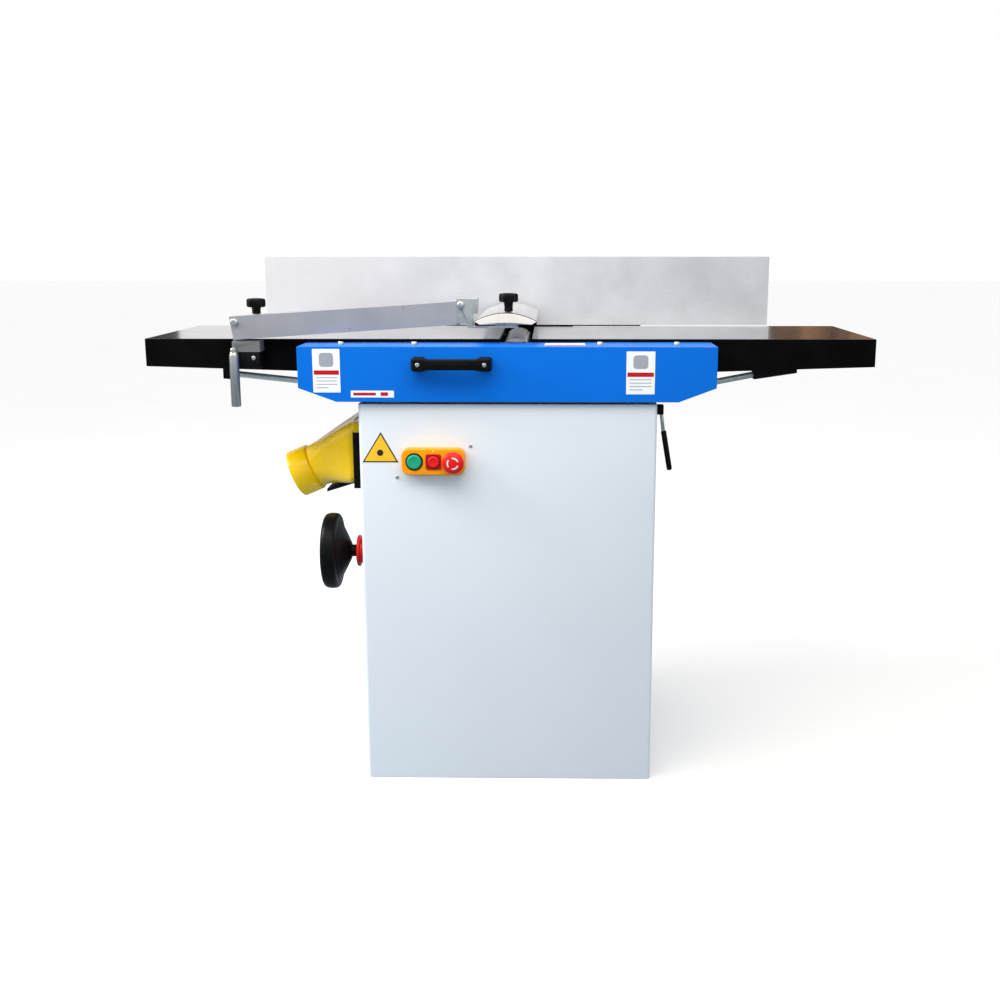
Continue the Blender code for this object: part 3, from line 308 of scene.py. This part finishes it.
white_mark = moulded("button_white", (0.80, 0.80, 0.80), 0.38, 0.00001)
slot_of = {entry["node"]: entry["material_slot"] for entry in frame["record"]["subparts"]}


# ------------------------------------------------------------------ mesh helpers

def place(axis, u, v, along):
    if axis == "X":
        return Vector((along, u, v))
    if axis == "Y":
        return Vector((u, along, v))
    return Vector((u, v, along))


def skin(rings, closed=False):
    """Faces between rings of points. A ring of one point is a tip. Closed joins the last to the first."""
    bm = bmesh.new()
    loops = [[bm.verts.new(p) for p in ring] for ring in rings]
    pairs = list(zip(loops, loops[1:]))
    if closed:
        pairs.append((loops[-1], loops[0]))
    for a, b in pairs:
        for i in range(max(len(a), len(b))):
            corners = [a[i % len(a)], a[(i + 1) % len(a)], b[(i + 1) % len(b)], b[i % len(b)]]
            bm.faces.new(list(dict.fromkeys(corners)))
    if not closed:
        for loop in (loops[0], loops[-1]):
            if len(loop) > 1:
                bm.faces.new(loop)
    bmesh.ops.recalc_face_normals(bm, faces=bm.faces)
    return bm


def circle(u, v, radius, count):
    steps = [2 * math.pi * i / count for i in range(count)]
    return [(u + radius * math.cos(t), v + radius * math.sin(t)) for t in steps]


def lathe(profile, axis, u, v, count=64, closed=False):
    rings = []
    for radius, along in profile:
        across = circle(u, v, radius, count) if radius else [(u, v)]
        rings.append([place(axis, a, b, along) for a, b in across])
    return skin(rings, closed)


def prism(outline, axis, start, end):
    return skin([[place(axis, u, v, at) for u, v in outline] for at in (start, end)])


def rounded(low, high, radius, steps=6):
    corners = ((high[0] - radius, high[1] - radius, 0), (low[0] + radius, high[1] - radius, 1),
               (low[0] + radius, low[1] + radius, 2), (high[0] - radius, low[1] + radius, 3))
    points = []
    for u, v, quarter in corners:
        for i in range(steps + 1):
            t = math.pi / 2 * (quarter + i / steps)
            points.append((u + radius * math.cos(t), v + radius * math.sin(t)))
    return points


def smooth_curve(points, steps):
    """A smooth line through points of any length, with steps points between each two."""
    ends = [points[0]] + list(points) + [points[-1]]
    line = []
    for p0, p1, p2, p3 in zip(ends, ends[1:], ends[2:], ends[3:]):
        for i in range(steps):
            t = i / steps
            line.append(tuple(
                0.5 * (2 * b + (c - a) * t + (2 * a - 5 * b + 4 * c - d) * t * t
                       + (3 * b - a - 3 * c + d) * t ** 3) for a, b, c, d in zip(p0, p1, p2, p3)))
    return line + [tuple(points[-1])]


def add(name, bm, material, body, bevel=0.0, segments=3, stands_for=(), angle=35, subdivide=0):
    """A shown piece from a bmesh, with its edges rounded, riding on a body."""
    mesh = bpy.data.meshes.new(name)
    bm.to_mesh(mesh)
    bm.free()
    mesh.shade_smooth()
    mesh.set_sharp_from_angle(angle=math.radians(angle))
    mesh.materials.append(material)
    obj = bpy.data.objects.new(name, mesh)
    bpy.context.scene.collection.objects.link(obj)
    if bevel:
        modifier = obj.modifiers.new("edges", "BEVEL")
        modifier.width = bevel
        modifier.segments = segments
        modifier.limit_method = "ANGLE"
        modifier.angle_limit = math.radians(angle)
        modifier.harden_normals = True
    if subdivide:
        modifier = obj.modifiers.new("smooth", "SUBSURF")
        modifier.levels = subdivide
        modifier.render_levels = subdivide
    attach(obj, body)
    if stands_for:
        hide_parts(*stands_for)
    return obj


def body_of(node):
    return nodes[node]["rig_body"]


def refine(node, bevel, segments=2, angle=35, material=None):
    """A CAD node's own shape with its flat faces joined and its edges rounded."""
    bm = bmesh.new()
    bm.from_mesh(nodes[node].data)
    bmesh.ops.remove_doubles(bm, verts=bm.verts, dist=0.000001)
    bmesh.ops.dissolve_limit(bm, angle_limit=math.radians(0.6), verts=bm.verts, edges=bm.edges)
    add(node + "_shown", bm, material or finishes[slot_of[node]], body_of(node), bevel, segments,
        (node,), angle)


# ------------------------------------------------------------------ round and soft-edged pieces

def star_knob(node, x, y):
    """A six-lobed knob: rolled rim, dished cap, and a turned stem."""
    low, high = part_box(node)
    radius = (high.x - low.x) / 2
    stations = [(0.30, -0.0165), (0.86, -0.0163), (0.965, -0.0150), (1.0, -0.0125), (1.0, -0.0055),
                (0.975, -0.0025), (0.90, -0.0006), (0.72, 0.0), (0.60, -0.0004), (0.52, -0.0018),
                (0.0, -0.0020)]
    lobes, count = 6, 96
    rings = []
    for share, drop in stations:
        if not share:
            rings.append([Vector((x, y, high.z + drop))])
            continue
        ring = []
        for i in range(count):
            t = 2 * math.pi * i / count
            dent = 0.17 * max(0.0, share - 0.45) / 0.55 * (0.5 - 0.5 * math.cos(lobes * t)) ** 0.8
            r = radius * (share - dent)
            ring.append(Vector((x + r * math.cos(t), y + r * math.sin(t), high.z + drop)))
        rings.append(ring)
    add(node + "_cap", skin(rings), finishes["black_plastic"], body_of(node),
        stands_for=(node,), angle=50)
    foot = low.z
    stem = [(0.0, foot), (0.0060, foot), (0.0078, foot + 0.0010), (0.0085, foot + 0.0035),
            (0.0078, foot + 0.0060), (0.0088, high.z - 0.0175), (0.0100, high.z - 0.0160),
            (0, high.z - 0.0150)]
    add(node + "_stem", lathe(stem, "Z", x, y, 48), finishes["black_plastic"], body_of(node),
        angle=50)


def handwheel():
    low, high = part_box("handwheel")
    y, z = (low.y + high.y) / 2, (low.z + high.z) / 2
    outer = [(0.0120, -0.3290), (0.0165, -0.3290), (0.0185, -0.3298), (0.035, -0.3390), (0.053, -0.3485),
             (0.0580, -0.3555), (0.0615, -0.3602), (0.0660, -0.3624), (0.0705, -0.3611), (0.0733, -0.3565),
             (0.0744, -0.3500), (0.0738, -0.3400), (0.0712, -0.3355), (0.0665, -0.3338), (0.0610, -0.3342),
             (0.050, -0.3285), (0.036, -0.3210), (0.0240, -0.3150), (0.0180, -0.3120), (0.0155, -0.3110),
             (0.0122, -0.3105), (0.0118, -0.3090), (0.0118, -0.3005), (0.0100, -0.2992)]
    profile = smooth_curve(outer, 3)
    bore = [(0.0094, -0.2992), (0.0094, -0.3290)]
    add("handwheel_rim", lathe(profile + bore, "X", y, z, 128, closed=True), finishes["black_plastic"],
        "handwheel", stands_for=("handwheel",), angle=60)
    cap = [(0, -0.3320), (0.0060, -0.3317), (0.0095, -0.3305), (0.0112, -0.3287), (0.0112, -0.3283),
           (0, -0.3283)]
    add("handwheel_cap", lathe(cap, "X", y, z, 48), finishes["steel"], "handwheel", angle=60)


def flange():
    low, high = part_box("handwheel_flange")
    y, z = (low.y + high.y) / 2, (low.z + high.z) / 2
    profile = [(0.0094, -0.2983), (0.0280, -0.2985), (0.0300, -0.2980), (0.0309, -0.2968), (0.0310, -0.2942),
               (0.0302, -0.2929), (0.0285, -0.2925), (0.0250, -0.2924), (0.0242, -0.2918), (0.0240, -0.2800),
               (0.0240, high.x), (0.0094, high.x)]
    add("handwheel_flange_disc", lathe(profile, "X", y, z, 96, closed=True), finishes["red_plastic"],
        "cabinet", stands_for=("handwheel_flange",), angle=40)
    for i in range(3):
        t = math.radians(90 + 120 * i)
        at = Vector((-0.2984, y + 0.0215 * math.cos(t), z + 0.0215 * math.sin(t)))
        screw(f"flange_screw_{i + 1}", "cabinet", at, "-X", 0.0030, 0.0014)


def hood():
    """The dust hood: a flared duct that turns from a rectangle to a round port, with a stepped collar."""
    front, rear = -0.110, 0.170
    middle, half = (front + rear) / 2, (rear - front) / 2
    lean, wall, count = math.radians(23.3), 0.0028, 96
    root = Vector((-0.3128, middle, 0.6285))
    neck = Vector((-0.4156, middle, 0.5763))
    along = Vector((-math.cos(lean), 0, -math.sin(lean)))

    def ring(at, tilt, wide, high, power):
        points = []
        for i in range(count):
            t = 2 * math.pi * (i + 0.5) / count
            c, s = math.cos(t), math.sin(t)
            across = wide * math.copysign(abs(c) ** (2 / power), c)
            up = high * math.copysign(abs(s) ** (2 / power), s)
            points.append(at + Vector((-math.sin(tilt) * up, across, math.cos(tilt) * up)))
        return points

    keys = [(0.0, 0.0, half, 0.0635, 9.0), (0.12, 0.1, half * 0.97, 0.0625, 7.0),
            (0.72, 0.8, 0.066, 0.0480, 3.0), (1.0, 1.0, 0.0452, 0.0452, 2.0)]
    stations = []
    for share, turn, wide, high, power in smooth_curve(keys, 8):
        share = min(1.0, max(0.0, share))
        stations.append((root.lerp(neck, share), lean * turn, min(wide, half), min(high, 0.0635),
                         max(power, 2.0)))
    outer = [ring(*station) for station in stations]
    for step, radius in ((0.0004, 0.0470), (0.0012, 0.0488), (0.0026, 0.0495), (0.0400, 0.0495),
                         (0.0425, 0.0492), (0.0435, 0.0484)):
        outer.append(ring(neck + step * along, lean, radius, radius, 2))
    mouth = neck + 0.0435 * along
    inner = [ring(mouth, lean, 0.0466, 0.0466, 2), ring(mouth - 0.001 * along, lean, 0.0458, 0.0458, 2)]
    inner += [ring(at, tilt, wide - wall, high - wall, power)
              for at, tilt, wide, high, power in reversed(stations)]
    add("hood_duct", skin(outer + inner, closed=True), finishes["hood"], "dust_hood",
        stands_for=("hood_shell",), angle=40)
    lip = prism(rounded((-0.3140, front), (-0.2784, rear), 0.004), "Z", 0.6690, 0.6900)
    add("hood_lip", lip, finishes["hood"], "dust_hood", 0.0025, 4)
    for i, y in enumerate((front + 0.022, middle, rear - 0.022), start=1):
        screw(f"hood_screw_{i}", "dust_hood", Vector((-0.296, y, 0.6899)), "+Z", 0.0038, 0.0016)


def grab_handle():
    """A moulded handle: two feet on the apron and a thinner bar between them."""
    low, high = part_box("grab_handle")
    wall = high.y
    stations = []
    steps = 60
    for i in range(steps + 1):
        share = i / steps
        x = low.x + (high.x - low.x) * share
        end = min(share, 1 - share)
        tuck = min(1.0, end / 0.035)
        leg = 1 - min(1.0, max(0.0, (end - 0.135) / 0.055))
        leg = leg * leg * (3 - 2 * leg)
        swell = 1 - min(1.0, max(0.0, (end - 0.13) / 0.09))
        swell = swell * swell * (3 - 2 * swell)
        tall = (0.0100 + 0.0023 * swell) * math.sqrt(1 - 0.35 * (1 - tuck) ** 2)
        face = low.y + 0.0010 + 0.0085 * (1 - tuck) ** 2 - 0.0010 * swell
        back = (low.y + 0.0135) * (1 - leg) + wall * leg
        stations.append((x, face, back, tall))
    middle = (low.z + high.z) / 2
    rings = []
    for x, face, back, tall in stations:
        outline = rounded((face, middle - tall), (back, middle + tall), 0.0042, 5)
        rings.append([Vector((x, y, z)) for y, z in outline])
    add("grab_handle_bar", skin(rings), finishes["black_plastic"], "upper_tables", 0.0012, 3,
        stands_for=("grab_handle",), angle=55)
    for i, x in enumerate((low.x + 0.0125, high.x - 0.0125), start=1):
        screw(f"handle_screw_{i}", "upper_tables", Vector((x, low.y + 0.0002, middle)), "-Y", 0.0038, 0.0012)


def post():
    """The guard's clamp post: a turned bar that hangs from a small hub and pin."""
    low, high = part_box("guard_clamp_lever")
    x, y = (low.x + high.x) / 2, low.y + 0.0090
    pivot = (-0.5170, 0.8400)
    profile = [(0, low.z), (0.0075, low.z), (0.0086, low.z + 0.0006), (0.0090, low.z + 0.0020),
               (0.0090, 0.8290), (0.0086, 0.8310), (0.0070, 0.8362), (0.0060, 0.8378), (0, 0.8380)]
    add("clamp_post_bar", lathe(profile, "Z", x, y, 48), finishes["post"], "guard_clamp",
        stands_for=("guard_clamp_lever",), angle=40)
    hub = [(0, -0.2092), (0.0040, -0.2090), (0.0050, -0.2080), (0.0050, -0.1925), (0.0030, -0.1925),
           (0.0030, -0.1650), (0, -0.1650)]
    add("clamp_post_hub", lathe(hub, "Y", *pivot, 48), finishes["zinc"], "guard_clamp", angle=40)


def braces():
    """Under each table, bright struts between a black block at the table's end and a black hanger."""
    under, radius, reach = 0.8497, 0.006, 0.016
    plan = (("outfeed", "upper_tables", [(-0.560, 0.778), (-0.536, 0.776), (-0.536, under), (-0.560, under)],
             (-0.5480, 0.7870), (-0.3450, 0.7657), 0.7940),
            ("infeed", "infeed_table", [(0.4747, 0.7778), (0.5577, 0.7903), (0.5577, under), (0.4747, under)],
             (0.4780, 0.7865), (0.3450, 0.7605), 0.7934))
    for side, body, block, high, low, top in plan:
        for end, y in (("front", -0.110), ("rear", 0.170)):
            start, stop = Vector((high[0], y, high[1])), Vector((low[0], y, low[1]))
            length = (stop - start).length
            bar = lathe([(0, 0), (radius, 0), (radius, length), (0, length)], "Z", 0, 0, 40)
            turn = (stop - start).to_track_quat("Z", "Y").to_matrix().to_4x4()
            bmesh.ops.transform(bar, matrix=Matrix.Translation(start) @ turn, verts=bar.verts)
            node = (side + "_brace",) if end == "front" else ()
            add(f"{side}_strut_{end}", bar, strut_zinc, body, stands_for=node)
            add(f"{side}_block_{end}", prism(block, "Y", y - reach, y + reach), finishes["black_metal"], body,
                0.0012, 3)
        hanger = prism([(low[0] - 0.006, low[1] - 0.009), (low[0] + 0.006, low[1] - 0.009),
                        (low[0] + 0.006, top), (low[0] - 0.006, top)], "Y", -0.122, 0.182)
        add(f"{side}_hanger", hanger, finishes["black_metal"], body, 0.0012, 3)


def lock_lever():
    """A black boss with a bright bar and a black plastic grip."""
    y, z = -0.190, 0.728
    boss = prism(rounded((y - 0.0095, z - 0.0095), (y + 0.0095, z + 0.0095), 0.004), "X", 0.2783, 0.2945)
    add("lock_lever_boss", boss, finishes["black_metal"], "lock_lever", 0.0015, 3,
        stands_for=("lock_lever",))

    def bar(name, start, end, radius, material, dome):
        start, end = Vector(start), Vector(end)
        length = (end - start).length
        profile = [(0, 0), (radius * 0.8, 0.0002), (radius, 0.0015), (radius, length - dome),
                   (radius * 0.9, length - dome * 0.45), (radius * 0.5, length - dome * 0.08), (0, length)]
        bm = lathe(profile, "Z", 0, 0, 32)
        turn = (end - start).to_track_quat("Z", "Y").to_matrix().to_4x4()
        bmesh.ops.transform(bm, matrix=Matrix.Translation(start) @ turn, verts=bm.verts)
        add(name, bm, finishes[material], "lock_lever", angle=50)

    bar("lock_lever_shaft", (0.2800, y, z), (0.2400, y, z), 0.0060, "steel", 0.001)
    bar("lock_lever_bar", (0.2905, y, z - 0.004), (0.2958, y, 0.680), 0.0035, "zinc", 0.001)
    bar("lock_lever_grip", (0.2955, y, 0.687), (0.3090, y, 0.6105), 0.0052, "black_plastic", 0.004)


def switch():
    """The button caps and collars, the stop button's surround, the lamp and the emergency button's arcs."""
    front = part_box("switch_housing")[0].y
    z, stop_x = 0.6402, -0.1370
    # A pressed button still stops short of its pocket's rounded floor.
    cap_rear = -0.2690
    for name, x, radius, colour in (("start", -0.1728, 0.0136, "green_plastic"),
                                    ("stop", stop_x, 0.0110, "red_plastic")):
        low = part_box(name + "_button")[0].y
        face = [(0, low + 0.0006), (radius * 0.55, low + 0.0004), (radius * 0.72, low),
                (radius * 0.88, low + 0.0002),
                (radius * 0.97, low + 0.0010), (radius, low + 0.0022), (radius, cap_rear), (0, cap_rear)]
        add(name + "_button_cap", lathe(face, "Y", x, z, 64), finishes[colour], name + "_button",
            stands_for=(name + "_button",), angle=50)
        ring = [(radius + 0.0006, front), (radius + 0.0008, front - 0.0016),
                (radius + 0.0016, front - 0.0021),
                (radius + 0.0024, front - 0.0014), (radius + 0.0028, front + 0.0002),
                (radius + 0.0006, front + 0.0002)]
        add(name + "_collar", lathe(ring, "Y", x, z, 64, closed=True), finishes["black_plastic"], "cabinet",
            angle=60)
    box = rounded((stop_x - 0.0145, z - 0.0145), (stop_x + 0.0145, z + 0.0145), 0.004)
    hole = [(stop_x + 0.0114 * math.cos(t), z + 0.0114 * math.sin(t)) for t in
            [math.pi / 4 + 2 * math.pi * (i - 3) / len(box) for i in range(len(box))]]
    rings = [[place("Y", u, v, front - 0.0001) for u, v in box],
             [place("Y", u, v, front - 0.0018) for u, v in box],
             [place("Y", u, v, front - 0.0018) for u, v in hole],
             [place("Y", u, v, front - 0.0001) for u, v in hole]]
    add("stop_surround", skin(rings, closed=True), red_print, "cabinet", angle=40)
    lamp = [(0, front - 0.0016), (0.0016, front - 0.0014), (0.0023, front), (0.0023, front + 0.0002),
            (0, front + 0.0002)]
    add("switch_lamp", lathe(lamp, "Y", stop_x, 0.6592, 24), yellow_print, "cabinet", angle=60)

    x, low = -0.0998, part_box("emergency_button")[0].y
    head = [(0, low), (0.008, low + 0.0002), (0.0135, low + 0.0010), (0.0175, low + 0.0026),
            (0.0195, low + 0.0045),
            (0.0203, low + 0.0065), (0.0202, low + 0.0090), (0.0190, low + 0.0100), (0.0100, low + 0.0110),
            (0.0090, low + 0.0130), (0.0090, cap_rear), (0, cap_rear)]
    add("emergency_button_head", lathe(head, "Y", x, z, 96), finishes["red_plastic"], "emergency_button",
        stands_for=("emergency_button",), angle=60)
    for i in range(3):
        start = math.radians(20 + 120 * i)
        inner, outer, span = 0.0088, 0.0112, math.radians(78)
        rings = []
        for k in range(13):
            t = start + span * k / 12
            ring = []
            for r, lift in ((inner, 0.0), (outer, 0.0), (outer, 0.0005), (inner, 0.0005)):
                depth = low + 0.0010 * (r / 0.0135) ** 2 + 0.0001 - (0.0004 if lift == 0.0 else -0.0004)
                ring.append(Vector((x + r * math.cos(t), depth, z + r * math.sin(t))))
            rings.append(ring)
        add(f"emergency_arc_{i + 1}", skin(rings), white_mark, "emergency_button")


# ------------------------------------------------------------------ fasteners and plates

TURNS = {"+Z": Matrix.Identity(4), "-Y": Matrix.Rotation(math.radians(90), 4, "X"),
         "-X": Matrix.Rotation(math.radians(-90), 4, "Y"), "+X": Matrix.Rotation(math.radians(90), 4, "Y"),
         "+Y": Matrix.Rotation(math.radians(-90), 4, "X")}


def screw(name, body, at, facing, radius, height, material="zinc", socket=True):
    """A button-head screw with a hexagon socket, its head facing out."""
    inner = radius * 0.48
    rings = [[Vector((r * math.cos(t), r * math.sin(t), h))
              for t in [2 * math.pi * i / 48 for i in range(48)]]
             for r, h in ((radius, -0.0002), (radius, height * 0.35), (radius * 0.93, height * 0.75),
                          (radius * 0.75, height))]
    if socket:
        def hexagon(h):
            points = []
            for i in range(48):
                t = 2 * math.pi * i / 48
                r = inner * math.cos(math.pi / 6) / math.cos((t % (math.pi / 3)) - math.pi / 6)
                points.append(Vector((r * math.cos(t), r * math.sin(t), h)))
            return points
        rings += [hexagon(height), hexagon(height * 0.35)]
    bm = skin(rings)
    bmesh.ops.transform(bm, matrix=Matrix.Translation(at) @ TURNS[facing], verts=bm.verts)
    add(name, bm, finishes[material], body, angle=40)


def plate(name, low, high, depth, material, body, corner=0.0012, thick=0.0003):
    """A thin printed plate that faces the operator."""
    add(name, prism(rounded(low, high, corner), "Y", depth, depth - thick), material, body, 0.00008, 2)


def apron_plates():
    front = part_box("apron")[0].y
    for side, low, high in (("left", (-0.3575, 0.768), (-0.307, 0.848)),
                            ("right", (0.2186, 0.7655), (0.2711, 0.844))):
        plate(f"plate_{side}", low, high, front - 0.0001, white_print, "upper_tables")
        width = high[0] - low[0]
        mark = front - 0.0004
        middle = low[1] + 0.46 * (high[1] - low[1])
        plate(f"plate_{side}_bar", (low[0] + 0.0020, middle - 0.0040), (high[0] - 0.0020, middle + 0.0040),
              mark,
              red_print, "upper_tables", 0.0004, 0.00015)
        plate(f"plate_{side}_field", (low[0] + 0.24 * width, middle + 0.0105),
              (high[0] - 0.24 * width, high[1] - 0.007),
              mark, grey_print, "upper_tables", 0.0060, 0.00015)
        for i in range(4):
            z = middle - 0.0100 - 0.0062 * i
            end = high[0] - (0.0060 if i < 3 else 0.0220)
            plate(f"plate_{side}_line_{i + 1}", (low[0] + 0.0060, z), (end, z + 0.0015), mark, grey_print,
                  "upper_tables", 0.0006, 0.00015)
    plate("plate_small", (-0.2885, 0.7588), (-0.2087, 0.7715), front - 0.0001, white_print, "upper_tables")
    plate("plate_small_band", (-0.2840, 0.7626), (-0.2420, 0.7678), front - 0.0004, red_print, "upper_tables",
          0.0008, 0.00015)
    plate("plate_small_tab", (-0.2335, 0.7618), (-0.2195, 0.7686), front - 0.0004, red_print, "upper_tables",
          0.0020, 0.00015)
    flange_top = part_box("apron")[1].z
    for i, x in enumerate((-0.313, -0.175, 0.172, 0.315), start=1):
        screw(f"apron_bolt_{i}", "upper_tables", Vector((x, -0.210, flange_top)), "+Z", 0.0056, 0.0052)
    strip = prism(rounded((0.069, -0.238), (0.144, -0.182), 0.002), "Z", flange_top + 0.0001,
                  flange_top + 0.0004)
    add("scale_strip", strip, white_print, "upper_tables")
    band = prism(rounded((0.070, -0.237), (0.143, -0.222), 0.001), "Z", flange_top + 0.0004,
                 flange_top + 0.0006)
    add("scale_band", band, red_print, "upper_tables")
    for i in range(15):
        x = 0.0725 + 0.0048 * i
        deep = 0.014 if i % 5 == 0 else 0.008
        tick = prism(rounded((x, -0.219), (x + 0.0007, -0.219 + deep), 0.0002, 2), "Z", flange_top + 0.0004,
                     flange_top + 0.00055)
        add(f"scale_tick_{i + 1}", tick, red_print, "upper_tables")


def cabinet_details():
    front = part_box("cabinet_shell")[0].y
    apex, left, right, foot = (-0.2371, 0.6925), -0.2724, -0.2048, 0.6352

    def triangle(shrink):
        centre = Vector(((left + right) / 2, foot + (apex[1] - foot) / 3))
        corners = [Vector((left, foot)), Vector((right, foot)), Vector(apex)]
        return [centre + (c - centre) * shrink for c in corners]

    add("triangle_border", prism([tuple(p) for p in triangle(1.0)], "Y", front - 0.0001, front - 0.0004),
        black_print, "cabinet", 0.00015, 2)
    add("triangle_field", prism([tuple(p) for p in triangle(0.88)], "Y", front - 0.0003, front - 0.00055),
        yellow_print, "cabinet", 0.0001, 2)
    add("triangle_dot", prism(circle(-0.2387, 0.6535, 0.0060, 40), "Y", front - 0.0005, front - 0.0007),
        black_print, "cabinet")
    for i, at in enumerate(((-0.208, 0.607), (-0.069, 0.6665)), start=1):
        screw(f"panel_screw_{i}", "cabinet", Vector((at[0], front, at[1])), "-Y", 0.0036, 0.0014)
    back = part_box("rear_cover")
    rear = back[1].y
    for i, (x, z) in enumerate(((-0.19, 0.05), (0.19, 0.05), (-0.19, 0.43), (0.19, 0.43), (-0.19, 0.24),
                                (0.19, 0.24)),
                               start=1):
        screw(f"cover_screw_{i}", "cabinet", Vector((x, rear, z)), "+Y", 0.0045, 0.0022)
    for i in range(9):
        z = 0.12 + 0.022 * i
        slat = prism(rounded((-0.085, z), (0.085, z + 0.007), 0.003), "Y", rear - 0.0003, rear + 0.0009)
        add(f"cover_louvre_{i + 1}", slat, finishes["cabinet"], "cabinet", 0.0004, 2)
    for i, x in enumerate((-0.20, 0.20), start=1):
        for k, dx in enumerate((-0.021, 0.021), start=1):
            screw(f"hinge_screw_{i}_{k}", "cabinet", Vector((x + dx, 0.2563, 0.680)), "+Y", 0.0050, 0.0030)


def guard_details():
    pivot = Vector((-0.5155, -0.1985, 0.8915))
    screw("arm_pivot_head", "upper_tables", pivot, "-Y", 0.0070, 0.0012)
    screw("bracket_bolt_head", "guard_head", Vector((-0.0885, -0.1985, 0.9240)), "-Y", 0.0064, 0.0014)
    screw("mount_screw", "upper_tables", Vector((-0.483, -0.1902, 0.8246)), "-Y", 0.0040, 0.0014)
    for i, (x, z) in enumerate(((-0.298, 0.8800), (-0.196, 0.9195)), start=1):
        screw(f"arm_mark_{i}", "guard_arm", Vector((x, -0.1921, z)), "-Y", 0.0013, 0.0003, "cast_grey")
    # A black rim round the end cap: partly a gasket, partly painted shadow in the gap between cap and
    # profile.
    middle, half, crown, drop = -0.0045, 0.058, 0.9102, 0.0150
    xs = [middle + half * (i / 24 - 1) for i in range(49)]
    top = [(x, crown - 0.0002 - drop * ((x - middle) / half) ** 2) for x in xs]
    foot = [(x, 0.8912 - 0.0050 * ((x - middle) / half) ** 2) for x in reversed(xs)]
    add("end_cap_gasket_and_painted_shadow", prism(top + foot, "Y", -0.19858, -0.19788), finishes["black_plastic"], "guard_slide")


# ------------------------------------------------------------------ every piece

BEVELS = {
    "cabinet_shell": 0.0010, "apron": 0.0022, "outfeed_table": 0.0009, "infeed_table": 0.0009,
    "fence_plate": 0.0008, "guard_arm": 0.0016, "guard_block": 0.0012, "guard_mount": 0.0012,
    "guard_bracket": 0.0006, "guard_profile": 0.0008, "guard_end_cap": 0.0007, "switch_housing": 0.0030,
    "hood_base": 0.0010, "rear_beam": 0.0015, "fence_support": 0.0015, "fence_slide": 0.0010,
    "thickness_table": 0.0010, "motor_housing": 0.0015,
}
HAND_MADE = {"arm_knob", "profile_knob", "handwheel", "handwheel_flange", "hood_shell", "grab_handle",
             "guard_clamp_lever", "lock_lever", "start_button", "stop_button", "emergency_button",
             "outfeed_brace", "infeed_brace"}
for node in sorted(nodes):
    if node not in HAND_MADE:
        refine(node, BEVELS.get(node, 0.0004))

star_knob("arm_knob", -0.477, -0.175)
star_knob("profile_knob", 0.0, -0.165)
handwheel()
flange()
hood()
grab_handle()
post()
braces()
lock_lever()
switch()
apron_plates()
cabinet_details()
guard_details()


# ------------------------------------------------------------------ floor, lights and camera

def plain(name, colour, roughness, other=None, scale=1.5, stretch=(1, 1, 1)):
    """A flat finish that drifts between its colour and another."""
    material, tree, shader = surface(name)
    drift = spread(tree, noise(tree, scale, 2, stretch), 0, 1, 0.40, 0.60)
    link(tree, mix(tree, drift, colour, other or shade(colour, 0.99)), shader.inputs["Base Color"])
    shader.inputs["Roughness"].default_value = roughness
    return material


def panel(name, corners, material):
    mesh = bpy.data.meshes.new(name)
    mesh.from_pydata(corners, [], [(0, 1, 2, 3)])
    mesh.materials.append(material)
    obj = bpy.data.objects.new(name, mesh)
    bpy.context.scene.collection.objects.link(obj)
    return obj


def area(name, at, target, size, power, colour=(1, 1, 1)):
    data = bpy.data.lights.new(name, "AREA")
    data.shape = "RECTANGLE"
    data.size, data.size_y = size
    data.energy = power
    data.color = colour
    obj = bpy.data.objects.new(name, data)
    bpy.context.scene.collection.objects.link(obj)
    obj.location = at
    obj.rotation_mode = "QUATERNION"
    obj.rotation_quaternion = (Vector(target) - Vector(at)).to_track_quat("-Z", "Y")
    obj.visible_camera = False


far = 30.0


def seen_only(obj, *rays):
    """Shows an object to these kinds of ray and to no others."""
    for ray in ("camera", "diffuse", "glossy", "transmission", "shadow"):
        setattr(obj, "visible_" + ray, ray in rays)


def ground(name, height, colour, ray):
    """The floor as one kind of ray sees it."""
    corners = [(-far, -far, height), (far, -far, height), (far, far, height), (-far, far, height)]
    seen_only(panel(name, corners, plain(name + "_finish", colour, 0.9)), ray)


def card(name, left, right, colour, other):
    """An upright card behind the machine that only the polished tables reflect."""
    behind, low, high = 2.2, 0.9, 1.75
    corners = [(left, behind, low), (right, behind, low), (right, behind, high), (left, behind, high)]
    finish = plain(name + "_finish", colour, 0.9, other, 7, (1, 1, 0.15))
    seen_only(panel(name, corners, finish), "glossy")


ground("floor", 0, (0.96, 0.96, 0.96), "camera")
ground("floor_light", -0.001, (0.12, 0.19, 0.27), "diffuse")
ground("floor_gloss", -0.002, (0.42, 0.44, 0.47), "glossy")
card("dark_card", -5, -1.35, (0.020, 0.019, 0.018), (0.05, 0.045, 0.04))
card("warm_card", 0.91, 5, (0.36, 0.17, 0.07), (0.10, 0.04, 0.015))

world = bpy.data.worlds.new("studio")
bpy.context.scene.world = world
world.use_nodes = True
world.node_tree.nodes["Background"].inputs["Color"].default_value = (1.0, 1.0, 1.0, 1)
world.node_tree.nodes["Background"].inputs["Strength"].default_value = 1.0
bpy.context.scene.view_settings.view_transform = "Standard"

area("key", (-0.15, -0.95, 1.65), (0, 0, 0.6), (1.6, 0.6), 13.5, (1.0, 0.93, 0.84))
area("side", (-1.9, -0.35, 1.9), (-0.35, 0, 0.6), (0.9, 0.9), 54)

camera_data = bpy.data.cameras.new("camera")
camera_data.sensor_width = 36.0
camera_data.lens = 43.81
camera_data.shift_x = -0.0304
camera_data.clip_end = 100
camera = bpy.data.objects.new("camera", camera_data)
bpy.context.scene.collection.objects.link(camera)
camera.location = (0.0793, -2.4928, 1.0421)
camera.rotation_euler = (math.radians(90) - 0.2101, 0.0003, 0.0163)
bpy.context.scene.camera = camera
